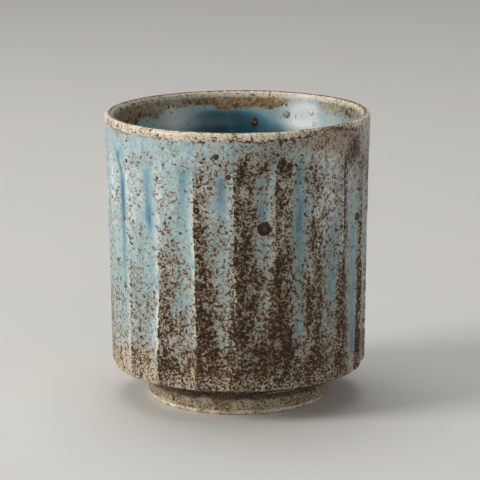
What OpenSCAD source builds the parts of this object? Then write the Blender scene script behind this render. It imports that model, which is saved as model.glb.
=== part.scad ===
// A thrown stoneware tea cup with carved flutes on a turned foot ring, under its coats of glaze.
// Millimetres, +Z up. The origin is the middle of the foot's resting face.
// Clay sizes and coat thicknesses are set apart: every coat is worked out from the clay that it lies on.

/* [Cup] */
// Height over everything
cup_h = 87.2; // [70:0.1:120]
// Diameter over the glaze at the rim
rim_d = 80; // [74:0.1:110]
// Diameter over the glaze half way up
middle_d = 78.4; // [73:0.1:110]
// Diameter over the glaze at the lower edge
base_d = 77.2; // [70:0.1:110]
// Radius that rounds the lower edge
base_round = 1.8; // [1:0.1:3.5]
// How far the underside rises from the foot to the lower edge
underside_rise = 2.2; // [1:0.1:3.5]

/* [Wall] */
// Thickness of the clay at the lip
lip_t = 1.5; // [1:0.1:3]
// Thickness of the clay wall below the thin lip
wall_t = 3.1; // [2.6:0.1:6]
// Depth below the lip at which the wall reaches its thickness
lip_taper_h = 13; // [8:0.5:25]
// Thickness of the clay floor
floor_t = 3.4; // [2.5:0.1:8]
// Radius between the floor and the wall inside
floor_round = 9; // [3:0.5:15]

/* [Foot] */
// Height of the foot, from its resting face to the underside of the cup
foot_h = 8.4; // [6:0.1:14]
// Depth of the hollow turned out of the foot
hollow_h = 6; // [4:0.1:8]
// Diameter of the foot at the resting face
foot_d = 54.7; // [44:0.1:60]
// Diameter of the foot where it meets the body
foot_top_d = 56.5; // [45:0.1:61]
// Width of the foot ring at the resting face
foot_w = 4.6; // [3:0.1:8]
// Width of the foot ring at the top of its hollow
foot_top_w = 6; // [4:0.1:10]
// Radius that rounds the foot's edges
foot_round = 0.9; // [0.4:0.1:1.4]

/* [Flutes] */
// Number of flutes carved round the body
flute_count = 20; // [14:1:26]
// Depth of a flute at its deepest line
flute_depth = 1.15; // [0.5:0.05:1.6]
// Depth below the lip at which a flute starts
flute_start = 9.5; // [6:0.5:20]
// Length over which the carving tool sinks to full depth
flute_runout = 8.5; // [5:0.5:15]
// How far outside the wall the faces of two flutes would meet, which leaves a narrow land on each ridge
ridge_lift = 0.12; // [0.05:0.01:0.4]

/* [Glaze] */
// Thickness of the glaze on the body
glaze_t = 0.5; // [0.3:0.05:0.9]
// Thickness of the glaze on the foot and inside it
foot_glaze_t = 0.3; // [0.2:0.05:0.6]
// Height of the ash glaze band over the lip
rim_band_h = 2.6; // [1.8:0.1:5]
// Height of bare clay left round the foot
bare_foot_h = 0.8; // [0.4:0.1:2]
// Size of the pooled glaze in the corner above the foot
seam_size = 1.5; // [1:0.1:3]
// Diameter of the largest iron spot
spot_d = 4.2; // [2:0.1:5]
// Height of the largest iron spot over the glaze
spot_h = 0.55; // [0.3:0.05:0.8]

/* [Hidden] */

$fn = 96;

// Steps in the rounding of one corner of an outline
corner_steps = 8;
// Radius that blends the clay where a coated line bends gently
soft_round = 40;
// Share of the lip's thickness that each of its two edges is rounded by
lip_round_share = 0.48;

// Clay sizes under the glaze
clay_h = cup_h - glaze_t;
rim_r = rim_d / 2 - glaze_t;
middle_r = middle_d / 2 - glaze_t;
base_r = base_d / 2 - glaze_t;
foot_r = foot_d / 2 - foot_glaze_t;
foot_top_r = foot_top_d / 2 - foot_glaze_t;
foot_in_r = foot_r - foot_w;
foot_in_top_r = foot_r + (foot_top_r - foot_r) * hollow_h / foot_h - foot_top_w;
edge_z = foot_h + underside_rise;
middle_z = (edge_z + clay_h) / 2;
floor_z = foot_h + floor_t;
lip_round = lip_t * lip_round_share;
wall_top_z = clay_h - lip_taper_h;
rim_band_z = cup_h - rim_band_h;

// Where a flute's deepest line lies across it, and how far cuts run past what they cut
valley_share = 0.84;
overcut_share = 0.2;
// Each ridge was cut by hand, so it strays from an even spacing by this share of the pitch
ridge_stray_shares = [-0.04, 0, -0.03, -0.08, -0.14, -0.12, -0.05, 0.04, 0.07, 0.02,
    -0.05, -0.02, 0.05, 0.08, 0.03, 0.06, 0.08, 0.03, -0.02, -0.01];
// Each flute sinks a little differently, as a share of the common depth
depth_shares = [0, -0.08, 0.04, -0.05, 0.05, -0.1, 0.03, 0.06, -0.04, -0.07,
    0.02, 0.05, -0.06, 0, 0.04, -0.09, 0.05, -0.03, 0.06, -0.02];

// Iron spots on the flutes: [number of the flute, share across its face, share of the flute's height,
// share of the largest spot's size]
flute_spot_shares = [[0, 0.7, 0.85, 1], [18, 0.95, 0.93, 0.5], [16, 0.45, 0.49, 0.45],
    [3, 0.85, 0.82, 0.45], [6, 0.5, 0.68, 0.6], [9, 0.6, 0.35, 0.5], [11, 0.4, 0.8, 0.75]];
// On the plain band and inside: [share of a turn from the front, share of the band's height, share of the size]
band_spot_shares = [[-0.025, 0.45, 0.42], [0.35, 0.3, 0.5]];
inner_spot_shares = [[0.476, 0.3, 0.7], [0.431, 0.55, 0.55], [-0.406, 0.78, 0.5],
    [0.392, 0.74, 0.5], [0.386, 0.4, 0.45], [0.08, 0.35, 0.5]];
// Clearance between a spot's flat seat and the coat
spot_gap = 0.02;

// A table's entry for one flute, going round again where there are more flutes than entries
function entry(table, i) = table[(i % len(table) + len(table)) % len(table)];

// Value at a share of the way from a to b
function between(a, b, share) = a + (b - a) * share;

// Direction of a vector, and the direction to its right
function unit(v) = v / norm(v);
function right_of(v) = [v[1], -v[0]];
function cross_of(a, b) = a[0] * b[1] - a[1] * b[0];
function flat(p) = [p[0], p[1]];

// An outline point is [distance from the axis, height, corner radius]. The clay is on the left of its travel.
// Moves an outline out of the clay by g, growing outer corners and shrinking inner ones
function moved_point(before, here, after, g) =
    let (n1 = right_of(unit(here - before)), n2 = right_of(unit(after - here)))
    here + (n1 + n2) * g / (1 + n1 * n2);
function turn_sign(before, here, after) = cross_of(here - before, after - here) > 0 ? 1 : -1;
function moved(points, g) = [for (i = [0:len(points) - 1])
    let (here = flat(points[i]),
        before = i > 0 ? flat(points[i - 1]) : 2 * here - flat(points[i + 1]),
        after = i < len(points) - 1 ? flat(points[i + 1]) : 2 * here - flat(points[i - 1]),
        place = moved_point(before, here, after, g),
        radius = points[i][2] > 0 ? max(points[i][2] + turn_sign(before, here, after) * g, 0) : 0)
    [place[0], place[1], radius]];

// Points of an arc that rounds one corner
function corner(before, here, after, radius) =
    let (u = unit(before - here), w = unit(after - here),
        half = acos(u * w) / 2,
        centre = here + unit(u + w) * radius / sin(half),
        from = here + u * radius / tan(half) - centre,
        to = here + w * radius / tan(half) - centre,
        start = atan2(from[1], from[0]),
        swing = atan2(cross_of(from, to), from * to))
    [for (k = [0:corner_steps])
        centre + radius * [cos(start + swing * k / corner_steps), sin(start + swing * k / corner_steps)]];
function rounded(points) = [for (i = [0:len(points) - 1])
    each points[i][2] > 0
        ? corner(flat(points[i - 1]), flat(points[i]), flat(points[i + 1]), points[i][2])
        : [flat(points[i])]];

// The clay cup's section, in two runs that share the lip
outer_run = [
    [0, foot_h, 0],
    [foot_top_r + seam_size, foot_h, 0],
    [base_r, edge_z, base_round],
    [middle_r, middle_z, soft_round],
    [rim_r, clay_h, lip_round]];
inner_run = [
    [rim_r - lip_t, clay_h, lip_round],
    [between(middle_r, rim_r, (wall_top_z - middle_z) / (clay_h - middle_z)) - wall_t, wall_top_z, 0],
    [middle_r - wall_t, middle_z, soft_round],
    [between(base_r, middle_r, (floor_z - edge_z) / (middle_z - edge_z)) - wall_t, floor_z, floor_round],
    [0, floor_z, 0]];

// The section of the whole cup, of the cup as if it were solid, and of the space inside it
module cup_section(g) {
    polygon(rounded(moved(concat(outer_run, inner_run), g)));
}
module solid_section(g) {
    polygon(rounded(moved(concat(outer_run, [[0, clay_h, 0]]), g)));
}
module cavity_section(g) {
    below_lip = [for (i = [1:len(inner_run) - 1]) inner_run[i]];
    polygon(rounded(moved(concat([[0, clay_h, 0], [rim_r - lip_t, clay_h, 0]], below_lip), g)));
}

// Angles are from the front, growing towards +X. Each flute runs from its ridge to the next one.
pitch = 360 / flute_count;
function ridge_angle(i) = (i + entry(ridge_stray_shares, i)) * pitch;
function valley_angle(i) = ridge_angle(i) + (ridge_angle(i + 1) - ridge_angle(i)) * valley_share;
function on_circle(radius, angle) = radius * [sin(angle), -cos(angle)];
function depth_of(i) = flute_depth * (1 + entry(depth_shares, i));
flute_start_z = clay_h - flute_start;
flute_full_z = flute_start_z - flute_runout;

// The wall over a coat of thickness g: its two straight stretches meet in the middle corner. Radius and lean
// of the wall at height z
function wall_corners(g) =
    let (run = moved(concat(outer_run, inner_run), g)) [for (i = [2:4]) flat(run[i])];
function stretch_at(z, g) =
    let (corners = wall_corners(g)) z < corners[1][1] ? [corners[0], corners[1]] : [corners[1], corners[2]];
function radius_on(stretch, z) =
    between(stretch[0][0], stretch[1][0], (z - stretch[0][1]) / (stretch[1][1] - stretch[0][1]));
function lean_of(stretch) = atan((stretch[1][0] - stretch[0][0]) / (stretch[1][1] - stretch[0][1]));
function plain_r(z, g) = radius_on(stretch_at(z, g), z);
function lean_at(z) = lean_of(stretch_at(z, 0));

// One turn round the flutes where the wall's radius is r: a corner on each ridge and one in each valley
function flute_corners(r) = [for (i = [0:flute_count - 1]) each [
    on_circle(r + ridge_lift, ridge_angle(i)),
    on_circle(r - depth_of(i), valley_angle(i))]];

// The space inside the flute faces: a star with one long and one short face to a flute, which leans with
// the wall's two stretches. g moves it out with the glaze.
module flute_star(g) {
    middle = wall_corners(g)[1];
    top_z = clay_h + edge_z;
    translate([0, 0, middle[1]]) {
        linear_extrude(top_z - middle[1], scale = plain_r(top_z, g) / middle[0])
            polygon(flute_corners(middle[0]));
        mirror([0, 0, 1])
            linear_extrude(middle[1], scale = plain_r(0, g) / middle[0])
                polygon(flute_corners(middle[0]));
    }
}

// The uncut core that the carving tool runs out of at the top of every flute
module runout_core(g) {
    sink = flute_depth * (1 + overcut_share);
    tool_r = (flute_runout * flute_runout + sink * sink) / (2 * sink);
    turn = asin(flute_runout * (1 + overcut_share) / tool_r);
    arc = [for (k = [0:corner_steps])
        let (z = flute_full_z + tool_r * sin(turn * k / corner_steps))
        [plain_r(z, g) - sink + tool_r * (1 - cos(turn * k / corner_steps)), z]];
    top_z = clay_h + edge_z;
    rotate_extrude()
        polygon(concat(
            [[0, flute_full_z]], arc, [[plain_r(top_z, g) + sink, top_z], [0, top_z]]));
}

module fluted_envelope(g) {
    flute_star(g);
    runout_core(g);
}

// The fluted outside as a solid with no inside
module fluted_solid(g) {
    intersection() {
        rotate_extrude() solid_section(g);
        fluted_envelope(g);
    }
}

// A low round cap with a flat seat, as a bead of melted iron lies
module iron_spot(size) {
    d = spot_d * size;
    h = spot_h * sqrt(size);
    radius = (d * d / 4 + h * h) / (2 * h);
    intersection() {
        translate([0, 0, h - radius]) sphere(radius);
        cylinder(d = 2 * spot_d, h = 2 * spot_h);
    }
}

// Seats a spot on the long face of flute i, at a share of the way across it
module spot_on_flute(i, across, z, size) {
    coat_r = wall_corners(glaze_t)[1][0];
    ridge = on_circle(coat_r + ridge_lift, ridge_angle(i));
    valley = on_circle(coat_r - depth_of(i), valley_angle(i));
    seat = between(ridge, valley, across) * plain_r(z, glaze_t) / coat_r;
    normal = right_of(unit(valley - ridge));
    out = seat + normal * spot_gap;
    translate([out[0], out[1], z])
        rotate([90 + lean_at(z), 0, atan2(normal[0], -normal[1])])
            iron_spot(size);
}

// Seats a spot on the plain band above the flutes
module spot_on_band(turn, z, size) {
    rotate([0, 0, 360 * turn])
        translate([0, -plain_r(z, glaze_t) - spot_gap, z])
            rotate([90 + lean_at(z), 0, 0])
                iron_spot(size);
}

// Seats a spot on the hollow wall inside
module spot_inside(turn, z, size) {
    radius = radius_on(lip_stretch, z);
    half = spot_d * size / 2;
    rotate([0, 0, 360 * turn])
        translate([0, -sqrt(radius * radius - half * half) + spot_gap, z])
            rotate([-90 + lean_of(lip_stretch), 0, 0])
                iron_spot(size);
}

// The glazed wall inside, from the bend below the lip to the lip
lip_stretch =
    let (run = moved(concat(outer_run, inner_run), glaze_t), lip = len(outer_run))
    [flat(run[lip + 1]), flat(run[lip])];

// Radius of the foot's outer side and of its hollow's side at height z
function foot_side_r(z) = foot_r + (foot_top_r - foot_r) * z / foot_h;
function foot_inside_r(z) = foot_in_r + (foot_in_top_r - foot_in_r) * z / hollow_h;
seam_z = foot_h - glaze_t;

// The thrown cup of clay, with its flutes
module clay_body() {
    color("#b9a583")
        intersection() {
            rotate_extrude() cup_section(0);
            fluted_envelope(0);
        }
}

// The pad under the cup, hollowed out into the ring that the cup stands on
module foot_ring() {
    color("#c4b08c")
        rotate_extrude()
            polygon(rounded([
                [0, foot_h, 0],
                [0, hollow_h, 0],
                [foot_in_top_r, hollow_h, 0],
                [foot_in_r, 0, foot_round],
                [foot_r, 0, foot_round],
                [foot_top_r, foot_h, 0]]));
}

// What the foot takes up under the body's coat
module foot_space() {
    rotate_extrude()
        polygon([
            [0, 0],
            [foot_side_r(seam_z), 0],
            [foot_side_r(seam_z), seam_z],
            [foot_top_r, foot_h],
            [foot_top_r, 2 * foot_h],
            [0, 2 * foot_h]]);
}

// The celadon coat on the fluted outside, from the ash band to the foot
module outer_glaze() {
    color("#8fb0b3")
        difference() {
            intersection() {
                fluted_solid(glaze_t);
                translate([0, 0, foot_h - 2 * glaze_t])
                    cylinder(r = rim_d, h = rim_band_z - foot_h + 2 * glaze_t);
            }
            fluted_solid(0);
            foot_space();
        }
}

// The poured coat inside the cup
module inner_glaze() {
    color("#6f9aa2")
        rotate_extrude()
            intersection() {
                difference() {
                    cavity_section(0);
                    cavity_section(glaze_t);
                }
                square([rim_d, rim_band_z]);
            }
}

// The ash glaze over the lip
module rim_glaze() {
    color("#c2a987")
        rotate_extrude()
            intersection() {
                difference() {
                    cup_section(glaze_t);
                    cup_section(0);
                }
                translate([0, rim_band_z]) square([rim_d, rim_band_h * 2]);
            }
}

// The thin coat round the foot, which stops above the resting face
module foot_glaze() {
    low_z = bare_foot_h;
    high_z = seam_z - seam_size;
    color("#9a9a86")
        rotate_extrude()
            polygon([
                [foot_side_r(low_z), low_z],
                [foot_side_r(low_z + foot_glaze_t) + foot_glaze_t, low_z + foot_glaze_t],
                [foot_side_r(high_z) + foot_glaze_t, high_z],
                [foot_side_r(high_z), high_z]]);
}

// The coat in the hollow of the foot
module base_glaze() {
    low_z = foot_round + bare_foot_h;
    top_z = hollow_h - foot_glaze_t;
    color("#86a5a6")
        rotate_extrude()
            polygon(concat(
                [[0, hollow_h], [foot_in_top_r, hollow_h], [foot_inside_r(low_z), low_z]],
                rounded([
                    [foot_inside_r(low_z + foot_glaze_t) - foot_glaze_t, low_z + foot_glaze_t, 0],
                    [foot_inside_r(top_z) - foot_glaze_t, top_z, seam_size],
                    [0, top_z, 0]])));
}

// Glaze that ran down and pooled in the corner above the foot
module seam_glaze() {
    high_r = foot_side_r(seam_z);
    low_z = seam_z - seam_size;
    low_r = foot_side_r(low_z);
    color("#3f6a74")
        rotate_extrude()
            polygon(concat(
                [[low_r, low_z]],
                rounded([
                    [low_r + foot_glaze_t, low_z, 0],
                    [high_r + foot_glaze_t, seam_z - foot_glaze_t, (seam_size - foot_glaze_t) / 2],
                    [high_r + seam_size, seam_z - foot_glaze_t, 0]]),
                [[high_r + seam_size, seam_z], [high_r, seam_z]]));
}

// Melted iron specks that stand proud of the outer coat
module outer_iron_spots() {
    color("#4a2a1a") {
        for (s = flute_spot_shares)
            spot_on_flute(s[0], s[1], edge_z + (flute_full_z - edge_z) * s[2], s[3]);
        for (s = band_spot_shares)
            spot_on_band(s[0], flute_start_z + (rim_band_z - flute_start_z) * s[1], s[2]);
    }
}

// Melted iron specks that stand proud of the inner coat
module inner_iron_spots() {
    color("#5a3420")
        for (s = inner_spot_shares)
            spot_inside(s[0], wall_top_z + (rim_band_z - wall_top_z) * s[1], s[2]);
}

clay_body();
foot_ring();
outer_glaze();
inner_glaze();
rim_glaze();
foot_glaze();
base_glaze();
seam_glaze();
outer_iron_spots();
inner_iron_spots();
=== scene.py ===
"""The looks of a fluted stoneware tea cup: its coats of glaze, its foot and its iron spots.

Sizes are in millimetres, as in the part's own source, and heights are from the face that the foot stands on.
Angles are in degrees round from the front, growing towards +X. Every piece is a closed shell of its own.
"""

import logging
import math
from collections.abc import Callable, Iterable, Sequence
from dataclasses import dataclass
from enum import Enum

import bpy
import numpy as np
from mathutils import Matrix, Vector, noise


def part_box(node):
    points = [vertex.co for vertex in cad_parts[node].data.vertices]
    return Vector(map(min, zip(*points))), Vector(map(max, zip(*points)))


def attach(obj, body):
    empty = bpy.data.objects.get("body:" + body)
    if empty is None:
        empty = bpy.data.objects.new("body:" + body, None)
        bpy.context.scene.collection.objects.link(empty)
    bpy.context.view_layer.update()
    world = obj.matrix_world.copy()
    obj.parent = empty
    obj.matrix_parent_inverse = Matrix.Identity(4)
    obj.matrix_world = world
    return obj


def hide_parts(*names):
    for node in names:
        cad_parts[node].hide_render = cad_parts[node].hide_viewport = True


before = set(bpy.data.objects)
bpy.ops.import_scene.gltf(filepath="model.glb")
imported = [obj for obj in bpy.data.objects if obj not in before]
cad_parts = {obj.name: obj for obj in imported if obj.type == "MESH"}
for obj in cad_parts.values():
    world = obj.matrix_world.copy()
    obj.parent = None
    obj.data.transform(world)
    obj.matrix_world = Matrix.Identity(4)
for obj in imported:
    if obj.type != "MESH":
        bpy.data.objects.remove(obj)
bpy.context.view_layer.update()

Array = np.ndarray
Socket = bpy.types.NodeSocket

LOG = logging.getLogger("tea_cup")
MM = 0.001
BODY = "root"
FULL_TURN = 360.0


class Tone(Enum):
    """The colours of the clay, the glazes and the iron, as they look under plain light."""

    CELADON = "#aac3c5"
    CELADON_BLUE = "#78a6b3"
    CELADON_GREY = "#99aaa3"
    CELADON_PALE = "#c9d6d6"
    CELADON_DEEP = "#6aa0b0"
    SEA = "#648f98"
    POOL = "#458ba6"
    POOL_DEEP = "#1a5c82"
    LINING_SEA = "#3c7684"
    # Deepest teal of the lining: pooled glaze, and painted shade at the back and sides.
    LINING_DEEP_AND_SHADE = "#1b434e"
    MILK = "#eef3f3"
    # Painted highlight: the pale glare and reflections laid on the lining.
    PAINTED_GLARE = "#e2e6e3"
    CREAM = "#e6dccd"
    CHALK = "#e0e2da"
    ASH = "#b59f7b"
    ASH_PALE = "#dfd3bc"
    ASH_BROWN = "#6f5233"
    MAUVE = "#b9a999"
    STAIN = "#94876c"
    UMBER = "#39230b"
    UMBER_DARK = "#201204"
    BROWN = "#6e4a22"
    RUST = "#8f4b1c"
    TAN = "#9d8b66"
    FOOT_TAN = "#d6c8a9"
    FOOT_BROWN = "#a58e68"
    CLAY = "#f4ecdc"
    CLAY_DARK = "#cbb695"
    # Near-black blue: pooled glaze, darkened as painted shadow under the wall's overhang.
    SLATE_AND_SHADOW = "#141f27"
    FLOOR = "#d9d7d2"

    @property
    def linear(self) -> tuple[float, float, float, float]:
        """The colour as linear light, with full alpha.

        Returns:
            Red, green, blue and alpha.
        """
        shares = [int(self.value[place:place + 2], 16) / 255 for place in (1, 3, 5)]
        red, green, blue = [
            share / 12.92 if share <= 0.04045 else ((share + 0.055) / 1.055) ** 2.4 for share in shares
        ]
        return red, green, blue, 1.0


Value = Socket | Tone | float | tuple[float, ...]


def smooth(low: Array | float, high: Array | float, value: Array) -> Array:
    """A smooth step from 0 at low to 1 at high, which may lie below low."""
    share = np.clip((np.asarray(value, float) - low) / (high - low), 0, 1)
    return share * share * (3 - 2 * share)


def soft_min(first: Array, second: Array, width: float) -> Array:
    """The smaller of two values, blended over a width where they meet."""
    share = np.clip(0.5 + 0.5 * (second - first) / width, 0, 1)
    return second * (1 - share) + first * share - width * share * (1 - share)


def soft_max(first: Array, second: Array, width: float) -> Array:
    """The larger of two values, blended over a width where they meet."""
    return -soft_min(-first, -second, width)


def bell(value: Array, middle: float, half_width: float) -> Array:
    """A bell curve that is 1 in the middle."""
    return np.exp(-(((value - middle) / half_width) ** 2))


def polar(radius: Array, angle: Array, z: Array) -> Array:
    """Points at a radius, angle and height, as an array of x, y and z."""
    turn = np.radians(angle)
    return np.stack(np.broadcast_arrays(radius * np.sin(turn), -radius * np.cos(turn), z), -1)


def evenly(count: int) -> Array:
    """Angles of columns that stand evenly round the axis, from -180."""
    return np.arange(count) * FULL_TURN / count - FULL_TURN / 2


def grain(points: Array, size: float, seed: float = 0.0) -> Array:
    """Soft noise from -1 to 1 at points in millimetres.

    Args:
        points: An array whose last axis is x, y and z.
        size: The width of one swell, in millimetres.
        seed: Moves the noise, so that two uses differ.

    Returns:
        One value for each point.
    """
    flat = np.asarray(points, float).reshape(-1, 3) / size + seed
    values = [noise.noise(Vector(point)) for point in flat]
    return np.array(values).reshape(np.shape(points)[:-1])


def fillet(before: Sequence[float], corner: Sequence[float], after: Sequence[float],
           radius: float, steps: int = 8) -> list[tuple[float, float]]:
    """Points of the arc that rounds one corner of an outline.

    Args:
        before: The outline's point before the corner, as radius and height.
        corner: The corner.
        after: The outline's point after the corner.
        radius: The arc's radius.
        steps: How many pieces the arc has.

    Returns:
        The arc's points, in order.
    """
    here = np.array(corner, float)
    back = (np.array(before, float) - here) / np.linalg.norm(np.array(before, float) - here)
    ahead = (np.array(after, float) - here) / np.linalg.norm(np.array(after, float) - here)
    half = math.acos(float(back @ ahead)) / 2
    middle = here + (back + ahead) / np.linalg.norm(back + ahead) * radius / math.sin(half)
    start = here + back * radius / math.tan(half) - middle
    end = here + ahead * radius / math.tan(half) - middle
    swing = math.atan2(start[0] * end[1] - start[1] * end[0], float(start @ end))
    first = math.atan2(start[1], start[0])
    turns = [first + swing * step / steps for step in range(steps + 1)]
    return [(middle[0] + radius * math.cos(turn), middle[1] + radius * math.sin(turn)) for turn in turns]


def stretch(start: Sequence[float], end: Sequence[float], step: float) -> list[tuple[float, float]]:
    """Points along a straight run of an outline, with both ends.

    Args:
        start: The first point, as radius and height.
        end: The last point.
        step: The longest gap between two points.

    Returns:
        The points, in order.
    """
    count = max(1, math.ceil(math.dist(start, end) / step))
    return [
        (start[0] + (end[0] - start[0]) * i / count, start[1] + (end[1] - start[1]) * i / count)
        for i in range(count + 1)
    ]


@dataclass(frozen=True)
class CupForm:
    """The sizes of the glazed cup that all coats follow."""

    height: float
    band_z: float
    foot_h: float
    foot_top_r: float
    rim_r: float = 40.0
    middle_r: float = 39.2
    base_r: float = 38.6
    edge_corner: tuple[float, float] = (38.59, 10.21)
    edge_round: float = 2.3
    coat_t: float = 0.5
    foot_coat_t: float = 0.3
    foot_r: float = 27.05
    seam_drop: float = 0.5
    seam_reach: float = 1.5

    @classmethod
    def from_frame(cls) -> "CupForm":
        """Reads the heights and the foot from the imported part.

        Returns:
            The form, with the heights and the foot of the part.
        """
        rim_low, rim_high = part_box("rim_glaze")
        _, foot_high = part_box("foot_ring")
        return cls(rim_high.z / MM, rim_low.z / MM, foot_high.z / MM, foot_high.x / MM)

    @property
    def middle_z(self) -> float:
        """The height half way between the lower edge and the lip."""
        return (self.edge_corner[1] + self.height) / 2

    def plain_r(self, z: Array) -> Array:
        """Radius of the wall at a height, before it is fluted.

        Args:
            z: Heights.

        Returns:
            The radius at each height.
        """
        heights = (self.edge_corner[1], self.middle_z, self.height)
        radii = (self.edge_corner[0], self.middle_r, self.rim_r)
        slopes = np.interp(z, heights, radii)
        lean = (radii[1] - radii[0]) / (heights[1] - heights[0])
        return slopes + np.minimum(np.asarray(z) - heights[0], 0) * lean

    def foot_side_r(self, z: Array) -> Array:
        """Radius of the clay foot at a height."""
        return self.foot_r + (self.foot_top_r - self.foot_r) * np.asarray(z) / self.foot_h


@dataclass(frozen=True)
class Flutes:
    """The upright flutes: each has a long face that sinks to the right and a short one that rises again."""

    form: CupForm
    count: int = 20
    depth: float = 1.15
    ridge_lift: float = 0.12
    valley_share: float = 0.84
    start_z: float = 77.2
    start_wander: float = 1.4
    runout: float = 8.5
    sink_share: float = 1.2
    ridge_round: float = 0.55
    valley_round: float = 0.8
    wander: float = 1.1
    wander_h: float = 24.0
    tremble: float = 0.36
    wave: float = 0.09
    wave_size: float = 9.0
    dimple: float = 0.035
    dimple_size: float = 2.6
    calm_h: float = 9.0
    core_round: float = 0.3
    stray_shares: tuple[float, ...] = (
        -0.04, 0, -0.03, -0.08, -0.14, -0.12, -0.05, 0.04, 0.07, 0.02,
        -0.05, -0.02, 0.05, 0.08, 0.03, 0.06, 0.08, 0.03, -0.02, -0.01,
    )
    carved_off: tuple[float, ...] = (
        -1.0, -1.9, -1.4, 0, 1.4, 0.8, 0, 0.5, -0.6, 0.8,
        -0.7, 0.4, 0.6, -0.5, 0, -0.8, -2.4, -3.2, -1.5, -0.9,
    )
    depth_shares: tuple[float, ...] = (
        0, -0.08, 0.04, -0.05, 0.05, -0.1, 0.03, 0.06, -0.04, -0.07,
        0.02, 0.05, -0.06, 0, 0.04, -0.09, 0.05, -0.03, 0.06, -0.02,
    )

    @property
    def pitch(self) -> float:
        """The angle from one ridge to the next, if all were alike."""
        return FULL_TURN / self.count

    def ridge(self, number: Array) -> Array:
        """Angle of a ridge by its number, from the front."""
        number = np.asarray(number, int)
        return (number + np.take(self.stray_shares, number % self.count)) * self.pitch

    def locate(self, angle: Array) -> tuple[Array, Array]:
        """Finds the flute at an angle.

        Args:
            angle: Angles from -180 to 180.

        Returns:
            The flutes' numbers, and the share of each flute's width from its own ridge to the next.
        """
        numbers = np.arange(-self.count // 2 - 1, self.count // 2 + 2)
        passed = np.searchsorted(self.ridge(numbers), angle, "right") - 1
        found = numbers[np.clip(passed, 0, len(numbers) - 1)]
        near, far = self.ridge(found), self.ridge(found + 1)
        return found, (angle - near) / (far - near)

    def drift(self, number: Array, z: Array) -> Array:
        """How far, in degrees, the carving of a ridge strays sideways at a height.

        Args:
            number: The ridges' numbers.
            z: Heights.

        Returns:
            The strays, in degrees.
        """
        number, z = np.broadcast_arrays(np.asarray(number) % self.count, z)
        spots = np.stack([number * 7.3, z / self.wander_h, np.zeros(z.shape)], -1)
        tremble = self.tremble * grain(spots * np.array([1.0, 5.0, 1.0]), 1.0, 7.7)
        return np.take(self.carved_off, number) + self.wander * grain(spots, 1.0) + tremble

    def stray(self, angle: Array, z: Array) -> Array:
        """How far, in degrees, the carving has moved the wall at an angle and height.

        Args:
            angle: Angles from -180 to 180, before the ridges stray.
            z: Heights, in an array of the same shape.

        Returns:
            The moves.
        """
        number, share = self.locate(angle)
        share = np.clip(share, 0, 1)
        return (1 - share) * self.drift(number, z) + share * self.drift(number + 1, z)

    def before(self, angle: Array, z: Array) -> Array:
        """The angle that strays to a wanted one at a height.

        Args:
            angle: The angles wanted.
            z: Heights, in an array of the same shape.

        Returns:
            The angles before the ridges stray.
        """
        found = np.array(angle, float)
        for _ in range(4):
            found = angle - self.stray(found, z)
        return found

    def face_r(self, number: Array, angle: Array) -> Array:
        """Radius of one flute's two faces half way up, met in its valley.

        Args:
            number: The flute's number.
            angle: The angle at which the faces are cut.

        Returns:
            The radius there.
        """
        near, far = self.ridge(number), self.ridge(number + 1)
        deep = self.form.middle_r - self.depth * (1 + np.take(self.depth_shares, number % self.count))
        high = self.form.middle_r + self.ridge_lift
        ridge, valley, after = (
            polar(radius, turn, 0.0)[..., :2]
            for radius, turn in ((high, near), (deep, near + (far - near) * self.valley_share), (high, far))
        )
        ray = polar(1.0, angle, 0.0)[..., :2]
        radii = []
        for start, end in ((ridge, valley), (valley, after)):
            way = end - start
            normal = np.stack([way[..., 1], -way[..., 0]], -1)
            radii.append((start * normal).sum(-1) / (ray * normal).sum(-1))
        return soft_max(radii[0], radii[1], self.valley_round)

    def runout_r(self, number: Array, z: Array) -> Array:
        """Radius of the uncut core that the tool leaves where it runs out, at a height.

        Args:
            number: The flutes' numbers.
            z: Heights, in an array of the same shape.

        Returns:
            The radii.
        """
        sink = self.depth * self.sink_share
        tool_r = (self.runout ** 2 + sink ** 2) / (2 * sink)
        start = self.start_z + self.start_wander * np.sin(np.asarray(number) * 2.4)
        rise = np.clip((z - start + self.runout) / tool_r, 0, 0.999)
        return self.form.plain_r(z) - sink + tool_r * (1 - np.sqrt(1 - rise * rise))

    def radius(self, angle: Array, z: Array) -> Array:
        """Radius of the glazed and fluted wall, before its ridges stray.

        Args:
            angle: Angles from -180 to 180.
            z: Heights, in an array of the same shape.

        Returns:
            The radii.
        """
        number, share = self.locate(angle)
        star = self.face_r(number, angle)
        for step in (-1, 1):
            star = soft_min(star, self.face_r(number + step, angle), self.ridge_round)
        plain = self.form.plain_r(z)
        after = smooth(0.3, 0.7, share)
        core = (1 - after) * self.runout_r(number, z) + after * self.runout_r(number + 1, z)
        cut = soft_max(star * plain / self.form.middle_r, core, self.core_round)
        return soft_min(plain, cut, self.ridge_round)

    def surface(self, angle: Array, z: Array, sink: float = 0.0) -> Array:
        """Points of the glazed wall.

        Args:
            angle: Angles from -180 to 180, before the ridges stray.
            z: Heights, in an array of the same shape.
            sink: How far the points lie under the surface.

        Returns:
            The points.
        """
        plain = polar(self.form.plain_r(z), angle, z)
        swell = self.wave * grain(plain, self.wave_size, 3.1)
        swell += self.dimple * grain(plain, self.dimple_size, 8.4)
        fade = smooth(self.form.height - 0.4, self.form.height - self.calm_h, z)
        return polar(self.radius(angle, z) + swell * fade - sink, angle + self.stray(angle, z), z)


class Mark(Enum):
    """What the firing left on the wall, each kept in the mesh as an amount from 0 to 1. The milk and pool
    amounts also carry painted light in places.
    """

    IRON = "iron"
    POOL = "pool"
    CREST = "crest"
    # Milky glaze on the wall; inside the cup and on the beads inside it is painted highlight and painted
    # reflection.
    MILK = "milk"
    ASH = "ash"
    MOTTLE = "mottle"
    GRANULE = "granule"
    HEART = "heart"


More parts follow.
